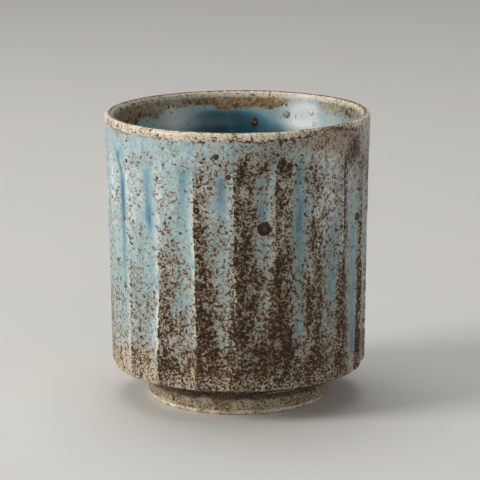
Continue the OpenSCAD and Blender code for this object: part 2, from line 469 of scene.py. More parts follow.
@dataclass(frozen=True)
class FluteCoat:
    """How the glaze lies in one flute: iron right of its ridge, a pool in its valley, cream on its ridge.

    The amounts go from 0 to 1, the shares are of the flute's width, and high and low are heights.
    """

    iron: float
    iron_top: float
    spread: float
    tail: float
    far: float
    pool: float
    pool_share: float
    pool_half: float
    pool_high: float
    pool_low: float
    crest: float
    crest_high: float
    crest_low: float


@dataclass(frozen=True)
class Patch:
    """A place where one mark is stronger or weaker than its flute gives."""

    mark: Mark
    angle: float
    z: float
    half_angle: float
    half_height: float
    strength: float

    def amount(self, angle: Array, z: Array) -> Array:
        """The mark's amount at an angle and height."""
        off = (np.asarray(angle) - self.angle + 180) % 360 - 180
        return self.strength * bell(off, 0, self.half_angle) * bell(z, self.z, self.half_height)


def lay_patches(mark: Mark, *rows: tuple[float, float, float, float, float]) -> tuple[Patch, ...]:
    """Patches of one mark, each with its angle, height, half widths and strength."""
    return tuple(Patch(mark, *row) for row in rows)


@dataclass(frozen=True)
class Firing:
    """The marks of the kiln on the fluted wall and its lip.

    A pair of heights, or of shares of a flute's width, says where a mark starts and where it is at its full.
    """

    flutes: Flutes
    front_first: int = -4
    carve_fade: tuple[float, float] = (4.0, -5.0)
    stray_iron: float = 0.14
    full_iron_z: float = 24.0
    iron_edge: tuple[float, float] = (0.42, -0.22)
    far_iron: tuple[float, float] = (0.66, 0.92)
    low_iron: tuple[float, float] = (0.05, 0.27)
    low_iron_z: tuple[float, float] = (25.0, 12.0)
    pool_fade: float = 6.0
    pool_tail: tuple[float, float] = (-14.0, 8.0)
    ridge_milk: float = 0.62
    ridge_milk_z: tuple[float, float] = (40.0, 66.0)
    pool_milk: float = 0.3
    pool_milk_z: tuple[float, float] = (56.0, 70.0)
    crest_fade: float = 8.0
    crest_halves: tuple[float, float] = (0.045, 0.10)
    crest_wide_z: tuple[float, float] = (50.0, 28.0)
    ash_z: tuple[float, float] = (83.0, 87.0)
    mottle_z: tuple[float, float] = (28.0, 9.5)
    ragged_h: float = 4.0
    ragged_size: float = 5.0
    coats: tuple[FluteCoat, ...] = (
        FluteCoat(0.42, 0.62, 0.30, 0.80, 0.90, 0.90, 0.64, 0.11, 80, 42, 0.40, 60, 16),
        FluteCoat(0.52, 0.52, 0.40, 0.70, 0.90, 0.70, 0.71, 0.15, 78, 58, 1.00, 48, 12),
        FluteCoat(0.72, 0.48, 0.50, 0.58, 0.75, 0.64, 0.71, 0.14, 80, 66, 1.00, 61, 12),
        FluteCoat(0.92, 0.76, 0.32, 0.54, 0.95, 0.60, 0.67, 0.17, 78, 62, 0.66, 77, 20),
        FluteCoat(0.94, 0.76, 0.42, 0.72, 1.05, 0.42, 0.64, 0.17, 78, 58, 0.70, 56, 18),
        FluteCoat(0.88, 0.82, 0.36, 0.64, 1.00, 0.46, 0.61, 0.19, 82, 22, 0.22, 64, 24),
        FluteCoat(0.84, 0.84, 0.22, 0.64, 0.95, 0.38, 0.62, 0.20, 62, 34, 0.46, 48, 13),
        FluteCoat(1.00, 0.85, 0.12, 0.32, 1.00, 0.52, 0.58, 0.21, 60, 14, 0.66, 74, 13),
        FluteCoat(0.74, 0.70, 0.34, 0.60, 0.70, 0.40, 0.60, 0.18, 70, 22, 0.85, 62, 18),
    )
    back_order: tuple[int, ...] = (2, 5, 1, 4, 7, 3, 0, 6, 2, 5, 1)
    patches: tuple[Patch, ...] = (
        # The milk patch at -150 degrees is painted reflection; it lies on the back of the wall.
        *lay_patches(Mark.MILK, (37, 77, 5.5, 5, 1.5), (47, 79, 4, 3.5, 1.1), (46, 67, 5, 9, 1.2),
            (20.5, 64, 3.5, 13, 0.6), (38.5, 58, 3.5, 14, 0.65), (-24, 80, 14, 4, 0.35),
            (-150, 74, 9, 7, 0.7)),
        # The wide pool patch at 30 degrees turns the right half a deeper teal: partly the glaze's colour,
        # partly painted shade.
        *lay_patches(Mark.POOL, (44, 75.5, 2.6, 2.2, 0.7), (10, 65, 1.7, 3.0, 0.6),
            (11, 73, 1.5, 4.0, 0.2), (-6.4, 69, 1.6, 4.5, 0.3), (30, 50, 30, 46, 0.12),
            (-19, 77.5, 2.2, 2.8, 0.65), (-2, 77.5, 2.0, 2.6, 0.45), (15, 77, 2.2, 2.6, 0.4),
            (-62, 78, 5, 2.0, 0.5), (-67, 80.5, 4, 2.0, 0.4), (63.5, 19, 2.4, 3.4, 0.8),
            (62, 34, 2.2, 8, 0.3), (56.2, 69, 1.5, 8, 0.6), (46.5, 39, 2.2, 6.5, 0.4),
            (27.4, 61, 1.9, 5.5, 0.55), (27, 75, 2.4, 4, 0.25), (-60.5, 62, 1.7, 7, 0.35),
            (-42.3, 61.5, 1.6, 4.5, 0.3)),
        *lay_patches(Mark.GRANULE, (39, 83.6, 13, 3.2, 1.3), (50, 80.5, 7, 4.5, 0.9),
            (66, 80, 10, 5, 0.4), (80, 76, 9, 12, 0.6), (168, 82, 16, 4, 0.8), (-64, 84, 9, 1.8, 0.4)),
        *lay_patches(Mark.IRON, (61, 79.5, 7, 5.0, 0.7), (80, 74, 9, 10, 0.35), (10, 80, 30, 7, 0.40),
            (22, 76.5, 5, 2.4, 0.35), (2, 77.5, 4, 2.2, 0.25), (-50, 79, 10, 4, 0.12),
            (-100, 79, 12, 5, 0.4), (150, 77, 14, 6, 0.5)),
    )

    def coat_values(self, number: Array) -> dict[str, Array]:
        """Looks up how the glaze lies in each flute.

        Args:
            number: The flutes' numbers.

        Returns:
            For each field of a coat, its value at each number.
        """
        count = self.flutes.count
        back_first = self.front_first + len(self.coats)
        rows = []
        for flute in range(count):
            behind = back_first <= flute < count + self.front_first
            place = (flute + count // 2) % count - count // 2 - self.front_first
            rows.append(self.coats[self.back_order[flute - back_first] if behind else place])
        number = number % count
        return {
            name: np.array([getattr(row, name) for row in rows])[number]
            for name in FluteCoat.__dataclass_fields__
        }

    def iron(self, here: dict[str, Array], share: Array, z: Array) -> Array:
        """How much iron lies across a flute, thickest right of its ridge and again before the next one.

        Args:
            here: The coat values.
            share: The share of the flute's width.
            z: Heights.

        Returns:
            The iron, where the wall is carved.
        """
        down = smooth(self.flutes.start_z - self.pool_fade, self.full_iron_z, z)
        reach = here["spread"] * (0.7 + 0.6 * down)
        start, full = self.iron_edge
        band = here["tail"] + (1 - here["tail"]) * smooth(reach + start, reach + full, share)
        band = np.maximum(band, here["far"] * smooth(*self.far_iron, share) * (0.6 + 0.4 * down))
        return band * here["iron"] * (here["iron_top"] + (1 - here["iron_top"]) * down)

    def crest(self, number: Array, share: Array, z: Array) -> Array:
        """How bare the glaze has left the ridges, on both sides of each.

        Args:
            number: The flutes' numbers.
            share: The share of the flute's width.
            z: Heights.

        Returns:
            The amount.
        """
        bare = 0.0 * z
        for step, half in enumerate(self.crest_halves):
            here = self.coat_values(number + step)
            high, low = here["crest_high"], here["crest_low"]
            along = smooth(high, high - self.crest_fade, z) * smooth(low, low + self.pool_fade, z)
            wide = half * (0.95 + 0.75 * smooth(*self.crest_wide_z, z))
            bare = np.maximum(bare, here["crest"] * along * bell(share, step, wide))
        return bare

    def marks(self, angle: Array, z: Array) -> dict[Mark, Array]:
        """Works out every mark's amount on the wall.

        Args:
            angle: Angles from -180 to 180, before the ridges stray.
            z: Heights, in an array of the same shape.

        Returns:
            For each mark, its amount at each place.
        """
        number, share = self.flutes.locate(angle)
        here = self.coat_values(number)
        iron, pool, middle = here["iron"], here["pool"], here["pool_share"]
        high, low = here["pool_high"], here["pool_low"]
        uncut, cut = (self.flutes.start_z + way for way in self.carve_fade)
        carved = smooth(uncut, cut, z)
        ring = polar(self.flutes.form.base_r, angle, z)
        ragged_z = z + self.ragged_h * grain(ring, self.ragged_size, 1.9)
        end, full = (low + way for way in self.pool_tail)
        along = smooth(high, high - self.pool_fade, z) * smooth(end, full, z)
        ridge_milk = self.ridge_milk * bell(share, 0.10, 0.20) * smooth(*self.ridge_milk_z, z)
        pool_milk = self.pool_milk * pool * bell(share, middle - 0.26, 0.14) * smooth(*self.pool_milk_z, z)
        least, more = self.low_iron
        found = {
            Mark.IRON: carved * self.iron(here, share, z) + self.stray_iron * (1 - carved) * iron
            + (least + more * iron) * smooth(*self.low_iron_z, ragged_z),
            Mark.POOL: pool * bell(share, middle, here["pool_half"]) * along,
            Mark.CREST: self.crest(number, share, z),
            Mark.MILK: carved * (ridge_milk + pool_milk),
            Mark.GRANULE: 0.0 * z,
            Mark.ASH: smooth(*self.ash_z, z),
            Mark.MOTTLE: smooth(*self.mottle_z, ragged_z) * (0.95 - 0.15 * iron),
        }
        strayed = angle + self.flutes.stray(angle, z)
        for patch in self.patches:
            found[patch.mark] = found[patch.mark] + patch.amount(strayed, z)
        return {mark: np.clip(amount, 0, 1) for mark, amount in found.items()}


class Sketch:
    """Adds nodes to a shader tree and joins them up."""

    def __init__(self, tree: bpy.types.NodeTree) -> None:
        """Keeps the tree that the nodes go into."""
        self.tree = tree

    def feed(self, socket: Socket, value: Value) -> None:
        """Links a socket to another one, or sets its own value.

        Args:
            socket: The socket to fill.
            value: Another socket, a tone, or plain numbers.
        """
        if isinstance(value, Socket):
            self.tree.links.new(value, socket)
        else:
            socket.default_value = value.linear if isinstance(value, Tone) else value

    def node(self, kind: str, feeds: dict[str | int, Value] | None = None,
             **settings: object) -> bpy.types.Node:
        """Adds one node.

        Args:
            kind: The node's type, without its first word.
            feeds: What goes into its sockets.
            **settings: Its own properties.

        Returns:
            The node.
        """
        added = self.tree.nodes.new("ShaderNode" + kind)
        for name, setting in settings.items():
            setattr(added, name, setting)
        for socket, value in (feeds or {}).items():
            self.feed(added.inputs[socket], value)
        return added

    def fold(self, operation: str, *values: Value) -> Socket:
        """Works through two or more values with one kind of arithmetic.

        Args:
            operation: The arithmetic, as the Math node names it.
            values: The values, in their order.

        Returns:
            The result.
        """
        result = values[0]
        for value in values[1:]:
            result = self.node("Math", {0: result, 1: value}, operation=operation).outputs[0]
        return result

    def times(self, *values: Value) -> Socket:
        """The product of two or more values."""
        return self.fold("MULTIPLY", *values)

    def plus(self, *values: Value) -> Socket:
        """The sum of two or more values."""
        return self.fold("ADD", *values)

    def minus(self, first: Value, second: Value) -> Socket:
        """The first value less the second."""
        return self.fold("SUBTRACT", first, second)

    def most(self, *values: Value) -> Socket:
        """The largest of two or more values."""
        return self.fold("MAXIMUM", *values)

    def step(self, value: Value, low: Value, high: Value, start: float = 0.0, end: float = 1.0) -> Socket:
        """A smooth step from start where the value is low, to end where it is high."""
        feeds = {"Value": value, "From Min": low, "From Max": high, "To Min": start, "To Max": end}
        return self.node("MapRange", feeds, interpolation_type="SMOOTHSTEP").outputs[0]

    def blend(self, share: Value, first: Value, second: Value) -> Socket:
        """A colour between two others."""
        return self.node("Mix", {0: share, 6: first, 7: second}, data_type="RGBA").outputs[2]

    def amount(self, mark: Mark) -> Socket:
        """The amount of a mark that the mesh holds."""
        return self.node("Attribute", attribute_name=mark.value).outputs["Fac"]

    def grain(self, place: Value, size: Value, detail: float = 2.0, twist: float = 0.0) -> Socket:
        """Noise whose swells have a size in millimetres.

        Args:
            place: Where it is read.
            size: The swells' size.
            detail: How many finer layers it has.
            twist: How far it is distorted.

        Returns:
            The noise, about 0.5 on the whole.
        """
        tight = self.fold("DIVIDE", 1.0, size)
        feeds = {"Vector": place, "Scale": tight, "Detail": detail, "Roughness": 0.55, "Distortion": twist}
        return self.node("TexNoise", feeds).outputs[0]


@dataclass(frozen=True)
class Effect:
    """A shared shader group: its name, what it takes and gives, and the function that wires it."""

    title: str
    takes: tuple[str, ...]
    gives: tuple[str, ...]
    wire: Callable[[Sketch, Sequence[Socket]], Sequence[Socket]]

    def tree(self) -> bpy.types.NodeTree:
        """The group's node tree, built at its first use.

        Returns:
            The tree, with its sockets and its wiring.
        """
        if self.title in bpy.data.node_groups:
            return bpy.data.node_groups[self.title]
        tree = bpy.data.node_groups.new(self.title, "ShaderNodeTree")
        kinds = {"Place": "NodeSocketVector", "Colour": "NodeSocketColor"}
        for way, names in (("INPUT", self.takes), ("OUTPUT", self.gives)):
            for name in names:
                tree.interface.new_socket(name, in_out=way, socket_type=kinds.get(name, "NodeSocketFloat"))
        inlet, outlet = tree.nodes.new("NodeGroupInput"), tree.nodes.new("NodeGroupOutput")
        given = self.wire(Sketch(tree), inlet.outputs[:len(self.takes)])
        for socket, value in zip(outlet.inputs, given):
            tree.links.new(value, socket)
        return tree

    def on(self, sketch: Sketch, *values: Value) -> list[Socket]:
        """Places the group in a material.

        Args:
            sketch: The material's tree.
            *values: What goes into the group, in the order of its inputs.

        Returns:
            Its outputs.
        """
        added = sketch.node("Group", node_tree=self.tree())
        for socket, value in zip(added.inputs, values):
            sketch.feed(socket, value)
        return list(added.outputs)[:len(self.gives)]


def wire_specks(sketch: Sketch, given: Sequence[Socket]) -> Sequence[Socket]:
    """Specks where a noise rises over a level that falls as they grow dense, with hearts and halos.

    Args:
        sketch: The group's tree.
        given: The place, size, density and edge.

    Returns:
        The specks, hearts and halos.
    """
    place, size, density, edge = given
    none, crowded, halo_w, heart_in, heart_w = 0.69, 0.42, 0.12, 0.02, 0.09
    rise = sketch.grain(place, size, 2.4, 0.7)
    level = sketch.node("MapRange", {"Value": density, "To Min": none, "To Max": crowded}).outputs[0]
    specks = sketch.step(rise, sketch.minus(level, edge), sketch.plus(level, edge))
    inner = sketch.plus(level, heart_in)
    hearts = sketch.step(rise, inner, sketch.plus(inner, heart_w))
    return specks, hearts, sketch.step(rise, sketch.minus(level, halo_w), level)


def wire_clouds(sketch: Sketch, given: Sequence[Socket]) -> Sequence[Socket]:
    """Soft clouds, drawn out upright by their stretch.

    Args:
        sketch: The group's tree.
        given: The place, size and squeeze.

    Returns:
        The clouds.
    """
    place, size, squeeze = given
    drawn = sketch.node("CombineXYZ", {0: 1.0, 1: 1.0, 2: squeeze}).outputs[0]
    spot = sketch.node("VectorMath", {0: place, 1: drawn}, operation="MULTIPLY").outputs[0]
    return (sketch.step(sketch.grain(spot, size, 3.0, 0.3), 0.3, 0.7),)


def wire_ash(sketch: Sketch, given: Sequence[Socket]) -> Sequence[Socket]:
    """The colours of ash glaze, from cream to the brown of its runs.

    Args:
        sketch: The group's tree.
        given: The place, and how brown the ash is.

    Returns:
        The colour.
    """
    place, brown = given
    small = sketch.step(sketch.grain(place, 1.6, 3.0, 0.3), 0.3, 0.7)
    fleck = sketch.step(sketch.grain(place, 0.8, 2.0, 0.3), 0.3, 0.7)
    pale = sketch.blend(sketch.step(sketch.most(small, fleck), -0.3, 0.7), Tone.ASH, Tone.ASH_PALE)
    dark = sketch.blend(small, Tone.ASH_BROWN, Tone.ASH)
    return (sketch.blend(brown, pale, dark),)


ASH_TONES = Effect("ash_tones", ("Place", "Brown"), ("Colour",), wire_ash)
SPECKS = Effect(
    "iron_specks", ("Place", "Size", "Density", "Edge"), ("Specks", "Hearts", "Halos"), wire_specks)
CLOUDS = Effect("soft_clouds", ("Place", "Size", "Squeeze"), ("Clouds",), wire_clouds)


@dataclass(frozen=True)
class Gloss:
    """How a finish shines: its mirror strength, its clear coat, and how strongly its bumps show."""

    specular: float = 0.3
    coat: float = 0.0
    coat_rough: float = 0.12
    bump: float = 0.5


class Layers(Sketch):
    """A material's tree, whose colour is built up in layers over the lowest one."""

    def __init__(self, name: str) -> None:
        """Starts the material and finds the place on the object, in millimetres.

        Args:
            name: The material's name.
        """
        self.material = bpy.data.materials.new(name)
        self.material.use_nodes = True
        super().__init__(self.material.node_tree)
        spot = self.node("TexCoord").outputs["Object"]
        self.place = self.node("VectorMath", {0: spot, "Scale": 1 / MM}, operation="SCALE").outputs[0]
        self.colour: Value = Tone.CLAY

    def lay(self, tone: Value, *masks: Value) -> None:
        """Lays a colour over those below, where all the masks let it show."""
        self.colour = self.blend(self.times(*masks), self.colour, tone)

    def swell(self, size: float, detail: float = 2.0) -> Socket:
        """Noise on the object."""
        return self.grain(self.place, size, detail)

    def clouds(self, size: float, squeeze: float) -> Socket:
        """Soft clouds on the object."""
        return CLOUDS.on(self, self.place, size, squeeze)[0]

    def specks(self, size: float, density: Value, edge: float) -> list[Socket]:
        """Iron specks on the object, with their hearts and their halos."""
        return SPECKS.on(self, self.place, size, density, edge)

    def ash_tones(self, brown: Value) -> Socket:
        """The colours of ash on the object."""
        return ASH_TONES.on(self, self.place, brown)[0]

    def done(self, gloss: Gloss, rough: Value, height: Socket) -> bpy.types.Material:
        """Feeds the principled shader.

        Args:
            gloss: How the finish shines.
            rough: The roughness.
            height: The height of small bumps, in millimetres.

        Returns:
            The material.
        """
        bump = self.node("Bump", {"Height": height, "Strength": gloss.bump, "Distance": MM})
        feeds = {"Base Color": self.colour, "Roughness": rough, "Normal": bump.outputs[0],
                 "Specular IOR Level": gloss.specular, "Coat Weight": gloss.coat}
        if gloss.coat:
            feeds["Coat Roughness"] = gloss.coat_rough
        for name, value in feeds.items():
            self.feed(self.tree.nodes["Principled BSDF"].inputs[name], value)
        return self.material


@dataclass(frozen=True)
class WallGlaze:
    """The celadon on the wall and lip, with its iron, pools, ash and mottling.

    Each pair is the width of soft clouds in millimetres, and their squeeze: under 1 draws them out upright.
    """

    name: str
    rough: float = 0.36
    gloss: Gloss = Gloss(specular=0.2, coat=0.14, bump=0.6)
    drifts: tuple[float, float] = (13.0, 0.45)
    runs: tuple[float, float] = (2.4, 0.12)
    swirls: tuple[float, float] = (3.5, 0.8)
    curds: tuple[float, float] = (1.9, 0.8)
    mist: tuple[float, float] = (0.9, 0.8)
    flecks: tuple[float, float] = (0.9, 1.0)
    islands: tuple[float, float] = (4.5, 0.6)
    blots: tuple[float, float] = (1.6, 1.0)
    clumps: tuple[float, float] = (2.6, 0.8)
    grit: tuple[float, float] = (0.55, 1.0)
    breaks: tuple[float, float] = (2.2, 0.6)
    fine_speck: float = 0.38
    middling_speck: float = 0.92
    coarse_speck: float = 1.8
    salt_speck: float = 0.6
    dot: float = 0.75
    peel: float = 1.3

    def ground(self, paint: Layers) -> None:
        """Lays the glaze itself, with its pools and its milk.

        Args:
            paint: The layers so far.
        """
        runs, swirls, mist = (paint.clouds(*pair) for pair in (self.runs, self.swirls, self.mist))
        paint.colour = paint.blend(paint.clouds(*self.drifts), Tone.CELADON, Tone.CELADON_BLUE)
        paint.lay(Tone.CELADON_GREY, swirls, 0.45)
        paint.lay(Tone.CELADON_PALE, runs, 0.35)
        pool = paint.plus(paint.amount(Mark.POOL), paint.step(swirls, 0.0, 1.0, -0.16, 0.06))
        pool = paint.times(pool, paint.step(runs, -1.1, 0.9))
        paint.lay(Tone.CELADON_DEEP, paint.step(pool, -0.1, 0.7), 0.75)
        paint.lay(Tone.POOL, paint.step(pool, 0.25, 0.95), 0.9)
        paint.lay(Tone.POOL_DEEP, paint.step(pool, 0.5, 1.15))
        paint.lay(Tone.MILK, paint.amount(Mark.MILK), paint.step(paint.clouds(*self.curds), 0.15, 0.75))
        paint.lay(Tone.CELADON_PALE, paint.step(mist, 0.55, 1.0), paint.step(pool, 0.6, 0.0), 0.30)
        paint.lay(Tone.SEA, paint.step(mist, 0.4, 0.0), 0.28)

    def ash(self, paint: Layers, blots: Socket) -> Socket:
        """Where the tan ash of the lip lies: it has a ragged border, and mauve granules cover it.

        Args:
            paint: The layers so far.
            blots: Soft clouds, which make its border ragged.

        Returns:
            How much ash lies there, from 0 to 1.
        """
        flecks = paint.clouds(*self.flecks)
        ragged = paint.plus(paint.amount(Mark.ASH), paint.times(blots, 0.35), paint.times(flecks, 0.25))
        bare = paint.step(paint.amount(Mark.GRANULE), 0.95, 0.15)
        return paint.times(paint.step(ragged, 0.55, 0.95), bare)

    def density(self, paint: Layers, islands: Socket, ash: Socket) -> Socket:
        """How densely the iron lies. Where there is little of it, it lies in clumps.

        Args:
            paint: The layers so far.
            islands: Wide soft clouds, which thin the iron out.
            ash: Where the ash lies.

        Returns:
            The density of the iron.
        """
        border = paint.times(ash, paint.minus(1.0, ash), 1.8)
        iron = paint.plus(paint.most(paint.amount(Mark.IRON), paint.times(ash, 0.32)), border)
        sparse = paint.times(paint.step(iron, 0.03, 0.15), paint.step(iron, 0.6, 0.2))
        clumps = paint.step(paint.clouds(*self.clumps), 0.0, 1.0, -0.28, 0.2)
        gathered = paint.plus(iron, paint.times(sparse, clumps))
        clustered = paint.times(paint.most(gathered, 0.0), paint.step(islands, -1.0, 0.9))
        return paint.plus(clustered, paint.times(iron, iron, 0.15))

    def speckle(self, paint: Layers, spared: Socket, dense: Socket) -> tuple[Socket, Socket]:
        """Lays the iron specks over the glaze, with tan halos and rusty or dark hearts.

        Args:
            paint: The layers so far.
            spared: The density of iron, less where pools and ridges are clear of it.
            dense: The density of iron without that.

        Returns:
            The larger specks and the fine ones.
        """
        gritty = paint.times(spared, paint.step(spared, 0.0, 0.7, 0.1, 0.8))
        gritty = paint.plus(gritty, paint.times(paint.amount(Mark.GRANULE), 0.5))
        fine, fine_hearts, fine_halos = paint.specks(self.fine_speck, gritty, 0.035)
        middling, hearts, halos = paint.specks(self.middling_speck, spared, 0.035)
        coarse, wide_hearts, _ = paint.specks(self.coarse_speck, paint.times(spared, 0.42), 0.04)
        specks = paint.most(middling, coarse)
        inner = paint.most(hearts, wide_hearts)
        dots = paint.step(paint.grain(paint.place, self.dot, 2.0, 0.5), 0.38, 0.52)
        broken = paint.most(paint.step(dense, 0.75, 0.35), paint.step(dots, 0.0, 1.0, 0.5, 1.0))
        paint.lay(Tone.TAN, paint.most(paint.times(halos, 0.6), paint.times(fine_halos, 0.35)))
        paint.lay(Tone.BROWN, paint.most(specks, paint.times(fine, 0.85)))
        paint.lay(Tone.RUST, wide_hearts, paint.step(dense, 0.6, 0.1), 0.4)
        paint.lay(Tone.UMBER, paint.most(inner, fine_hearts), paint.step(dense, -0.1, 0.4), broken, 0.92)
        paint.lay(Tone.UMBER_DARK, paint.step(dense, 0.45, 0.85), paint.most(inner, specks), dots, 0.95)
        return specks, fine

    def make(self) -> bpy.types.Material:
        """Builds the material.

        Returns:
            The material.
        """
        paint = Layers(self.name)
        islands, blots = paint.clouds(*self.islands), paint.clouds(*self.blots)
        pool, granule = paint.amount(Mark.POOL), paint.amount(Mark.GRANULE)
        ash = self.ash(paint, blots)
        dense = self.density(paint, islands, ash)
        mottle = paint.times(
            paint.amount(Mark.MOTTLE), paint.step(islands, -0.4, 0.6), paint.step(pool, 1.0, 0.3))
        crest = paint.times(paint.amount(Mark.CREST), paint.step(paint.clouds(*self.breaks), 0.05, 0.7))
        self.ground(paint)
        paint.lay(Tone.STAIN, paint.step(dense, 0.1, 0.95), 0.5)
        paint.lay(Tone.MAUVE, granule, paint.step(paint.clouds(*self.grit), -0.2, 0.6))
        paint.lay(paint.ash_tones(0.0), ash)
        paint.lay(paint.blend(blots, Tone.ASH, Tone.ASH_PALE), paint.step(mottle, 0.1, 0.8))
        chalk = paint.blend(paint.step(mottle, 0.0, 0.5), Tone.CHALK, Tone.CREAM)
        paint.lay(chalk, paint.step(crest, 0.03, 1.0), 0.85)
        pooled = paint.plus(pool, paint.step(blots, 0.0, 1.0, -0.25, 0.25))
        spared = paint.times(dense, paint.step(crest, 1.3, 0.55), paint.step(pooled, 0.85, 0.25))
        specks, fine = self.speckle(paint, spared, dense)
        salt, _, _ = paint.specks(self.salt_speck, paint.times(mottle, 0.7), 0.06)
        paint.lay(Tone.ASH_PALE, salt, paint.step(mottle, 0.3, 0.9), 0.7)
        rough = paint.plus(paint.times(specks, 0.14), self.rough, paint.times(ash, 0.03))
        raised = paint.times(paint.most(specks, fine), 0.03)
        return paint.done(self.gloss, rough, paint.plus(paint.times(paint.swell(self.peel), 0.03), raised))


@dataclass(frozen=True)
class LiningGlaze:
    """The glossy coat inside the cup, with ash run down from its lip, painted highlights and painted shade.
    Its pairs are as on the wall.
    """

    name: str
    rough: float = 0.3
    gloss: Gloss = Gloss(coat=0.12)
    drifts: tuple[float, float] = (12.0, 0.5)
    runs: tuple[float, float] = (2.6, 0.15)
    blots: tuple[float, float] = (1.4, 0.8)
    speck: float = 1.1
    fine_speck: float = 0.5
    peel: float = 2.2

    def make(self) -> bpy.types.Material:
        """Builds the material.

        Returns:
            The material.
        """
        paint = Layers(self.name)
        drifts, runs, blots = (paint.clouds(*pair) for pair in (self.drifts, self.runs, self.blots))
        pool = paint.times(paint.step(paint.amount(Mark.POOL), 0.1, 0.9), paint.step(drifts, -0.9, 0.9))
        ash = paint.step(paint.plus(paint.amount(Mark.ASH), paint.times(blots, 0.4)), 0.4, 0.9)
        iron = paint.amount(Mark.IRON)
        specks, hearts, halos = paint.specks(self.speck, iron, 0.06)
        fine, _, _ = paint.specks(self.fine_speck, iron, 0.06)
        paint.colour = paint.blend(drifts, Tone.CELADON_GREY, Tone.CELADON_BLUE)
        paint.lay(Tone.CELADON_GREY, runs, 0.45)
        # Deep teal where the pool amount is: glaze pooled towards the floor, and painted shade at the back
        # and sides.
        paint.lay(Tone.LINING_SEA, paint.step(pool, 0.0, 0.5))
        paint.lay(Tone.LINING_DEEP_AND_SHADE, paint.step(pool, 0.3, 1.0))
        paint.lay(paint.ash_tones(paint.step(paint.amount(Mark.CREST), 0.9, 0.1)), ash)
        # Painted highlight and painted reflection, laid where the milk amount is.
        paint.lay(Tone.PAINTED_GLARE, paint.amount(Mark.MILK), paint.step(blots, -1.6, 0.5))
        paint.lay(Tone.TAN, halos, paint.step(iron, 0.08, 0.3), 0.7)
        paint.lay(Tone.ASH_BROWN, paint.most(specks, paint.times(fine, 0.7)))
        paint.lay(Tone.UMBER, hearts, 0.8)
        rough = paint.plus(self.rough, paint.times(ash, 0.2))
        return paint.done(self.gloss, rough, paint.times(paint.swell(self.peel), 0.04))


@dataclass(frozen=True)
class ClayFinish:
    """Clay or a thin coat on it, speckled with iron. Its pairs are as on the wall."""

    name: str
    light: Tone
    dark: Tone
    density: float
    rough: float
    grit: float = 0.05
    grit_size: float = 0.5
    tint: Tone = Tone.CELADON_GREY
    tint_share: float = 0.0
    gloss: Gloss = Gloss(bump=0.6)
    islands: tuple[float, float] = (3.2, 1.0)
    blots: tuple[float, float] = (0.9, 1.0)
    speck: float = 0.8
    fine_speck: float = 0.4

    def make(self) -> bpy.types.Material:
        """Builds the material.

        Returns:
            The material.
        """
        paint = Layers(self.name)
        islands, blots = paint.clouds(*self.islands), paint.clouds(*self.blots)
        pool = paint.amount(Mark.POOL)
        tinted = paint.times(paint.step(blots, 0.35, 0.8), self.tint_share)
        pooled = paint.times(pool, paint.step(islands, -0.4, 0.7))
        dense = paint.times(self.density, paint.step(islands, -1.2, 0.9))
        specks, hearts, halos = paint.specks(self.speck, dense, 0.05)
        fine, _, _ = paint.specks(self.fine_speck, dense, 0.06)
        paint.colour = paint.blend(paint.step(islands, -0.2, 1.4), self.light, self.dark)
        # Where the pool amount is, the coat turns blue and then near-black: on the foot coat that is pooled
        # glaze and painted shadow under the wall.
        paint.lay(self.tint, paint.most(tinted, pooled))
        paint.lay(Tone.SLATE_AND_SHADOW, paint.step(pool, 0.55, 0.92))
        paint.lay(Tone.TAN, halos, 0.6)
        paint.lay(Tone.BROWN, paint.most(specks, fine))
        paint.lay(Tone.UMBER, hearts)
        rough = paint.minus(self.rough, paint.times(islands, 0.1))
        return paint.done(self.gloss, rough, paint.times(paint.swell(self.grit_size, 3.0), self.grit))


def closed_mesh(name: str, points: Array, faces: Sequence[Sequence[int]], amounts: dict[Mark, Array],
                sharp: float = 50.0) -> bpy.types.Mesh:
    """Makes a closed mesh that faces outwards and is smooth but for its sharp edges.

    Args:
        name: The mesh's name.
        points: Its points, in millimetres.
        faces: Its faces, as numbers of points.
        amounts: For each mark, an amount for each point.
        sharp: The angle, in degrees, over which an edge is left sharp.

    Returns:
        The mesh, in metres.
    """
    mesh = bpy.data.meshes.new(name)
    mesh.from_pydata((points * MM).tolist(), [], faces)
    if sum(face.center.dot(face.normal) * face.area for face in mesh.polygons) < 0:
        mesh.flip_normals()
    for mark, values in amounts.items():
        kept = mesh.attributes.new(mark.value, "FLOAT", "POINT")
        kept.data.foreach_set("value", np.asarray(values, np.float32).ravel())
    mesh.polygons.foreach_set("use_smooth", np.ones(len(mesh.polygons), bool))
    mesh.set_sharp_from_angle(angle=math.radians(sharp))
    mesh.update()
    return mesh


def ring_faces(rows: Sequence[Array], first: int = 0) -> list[list[int]]:
    """Joins rows of points round the axis into closed faces.

    Args:
        rows: Rows from the top of the outside, down, and back up inside. A row of one point is a pole, and
            with poles at both ends the rows aren't joined round.
        first: The number of the first point.

    Returns:
        The faces.
    """
    columns = max(len(row) for row in rows)
    starts = first + np.cumsum([0] + [len(row) for row in rows])
    ring = np.arange(columns)
    after = (ring + 1) % columns
    last = len(rows) - 1
    pairs = [(row, row + 1) for row in range(last)] + ([] if len(rows[0]) == 1 else [(last, 0)])
    faces: list[list[int]] = []
    for upper, lower in pairs:
        top, low = starts[upper], starts[lower]
        if len(rows[upper]) == 1:
            corners = [top + 0 * ring, low + ring, low + after]
        elif len(rows[lower]) == 1:
            corners = [top + ring, low + 0 * ring, top + after]
        else:
            corners = [top + ring, low + ring, low + after, top + after]
        faces += np.stack(corners, 1).tolist()
    return faces


def ring_mesh(name: str, rows: Sequence[Array], amounts: dict[Mark, Array] | None = None) -> bpy.types.Mesh:
    """Joins rows of points round the axis into one closed mesh, with its marks' amounts row by row."""
    return closed_mesh(name, np.concatenate(rows), ring_faces(rows), amounts or {})


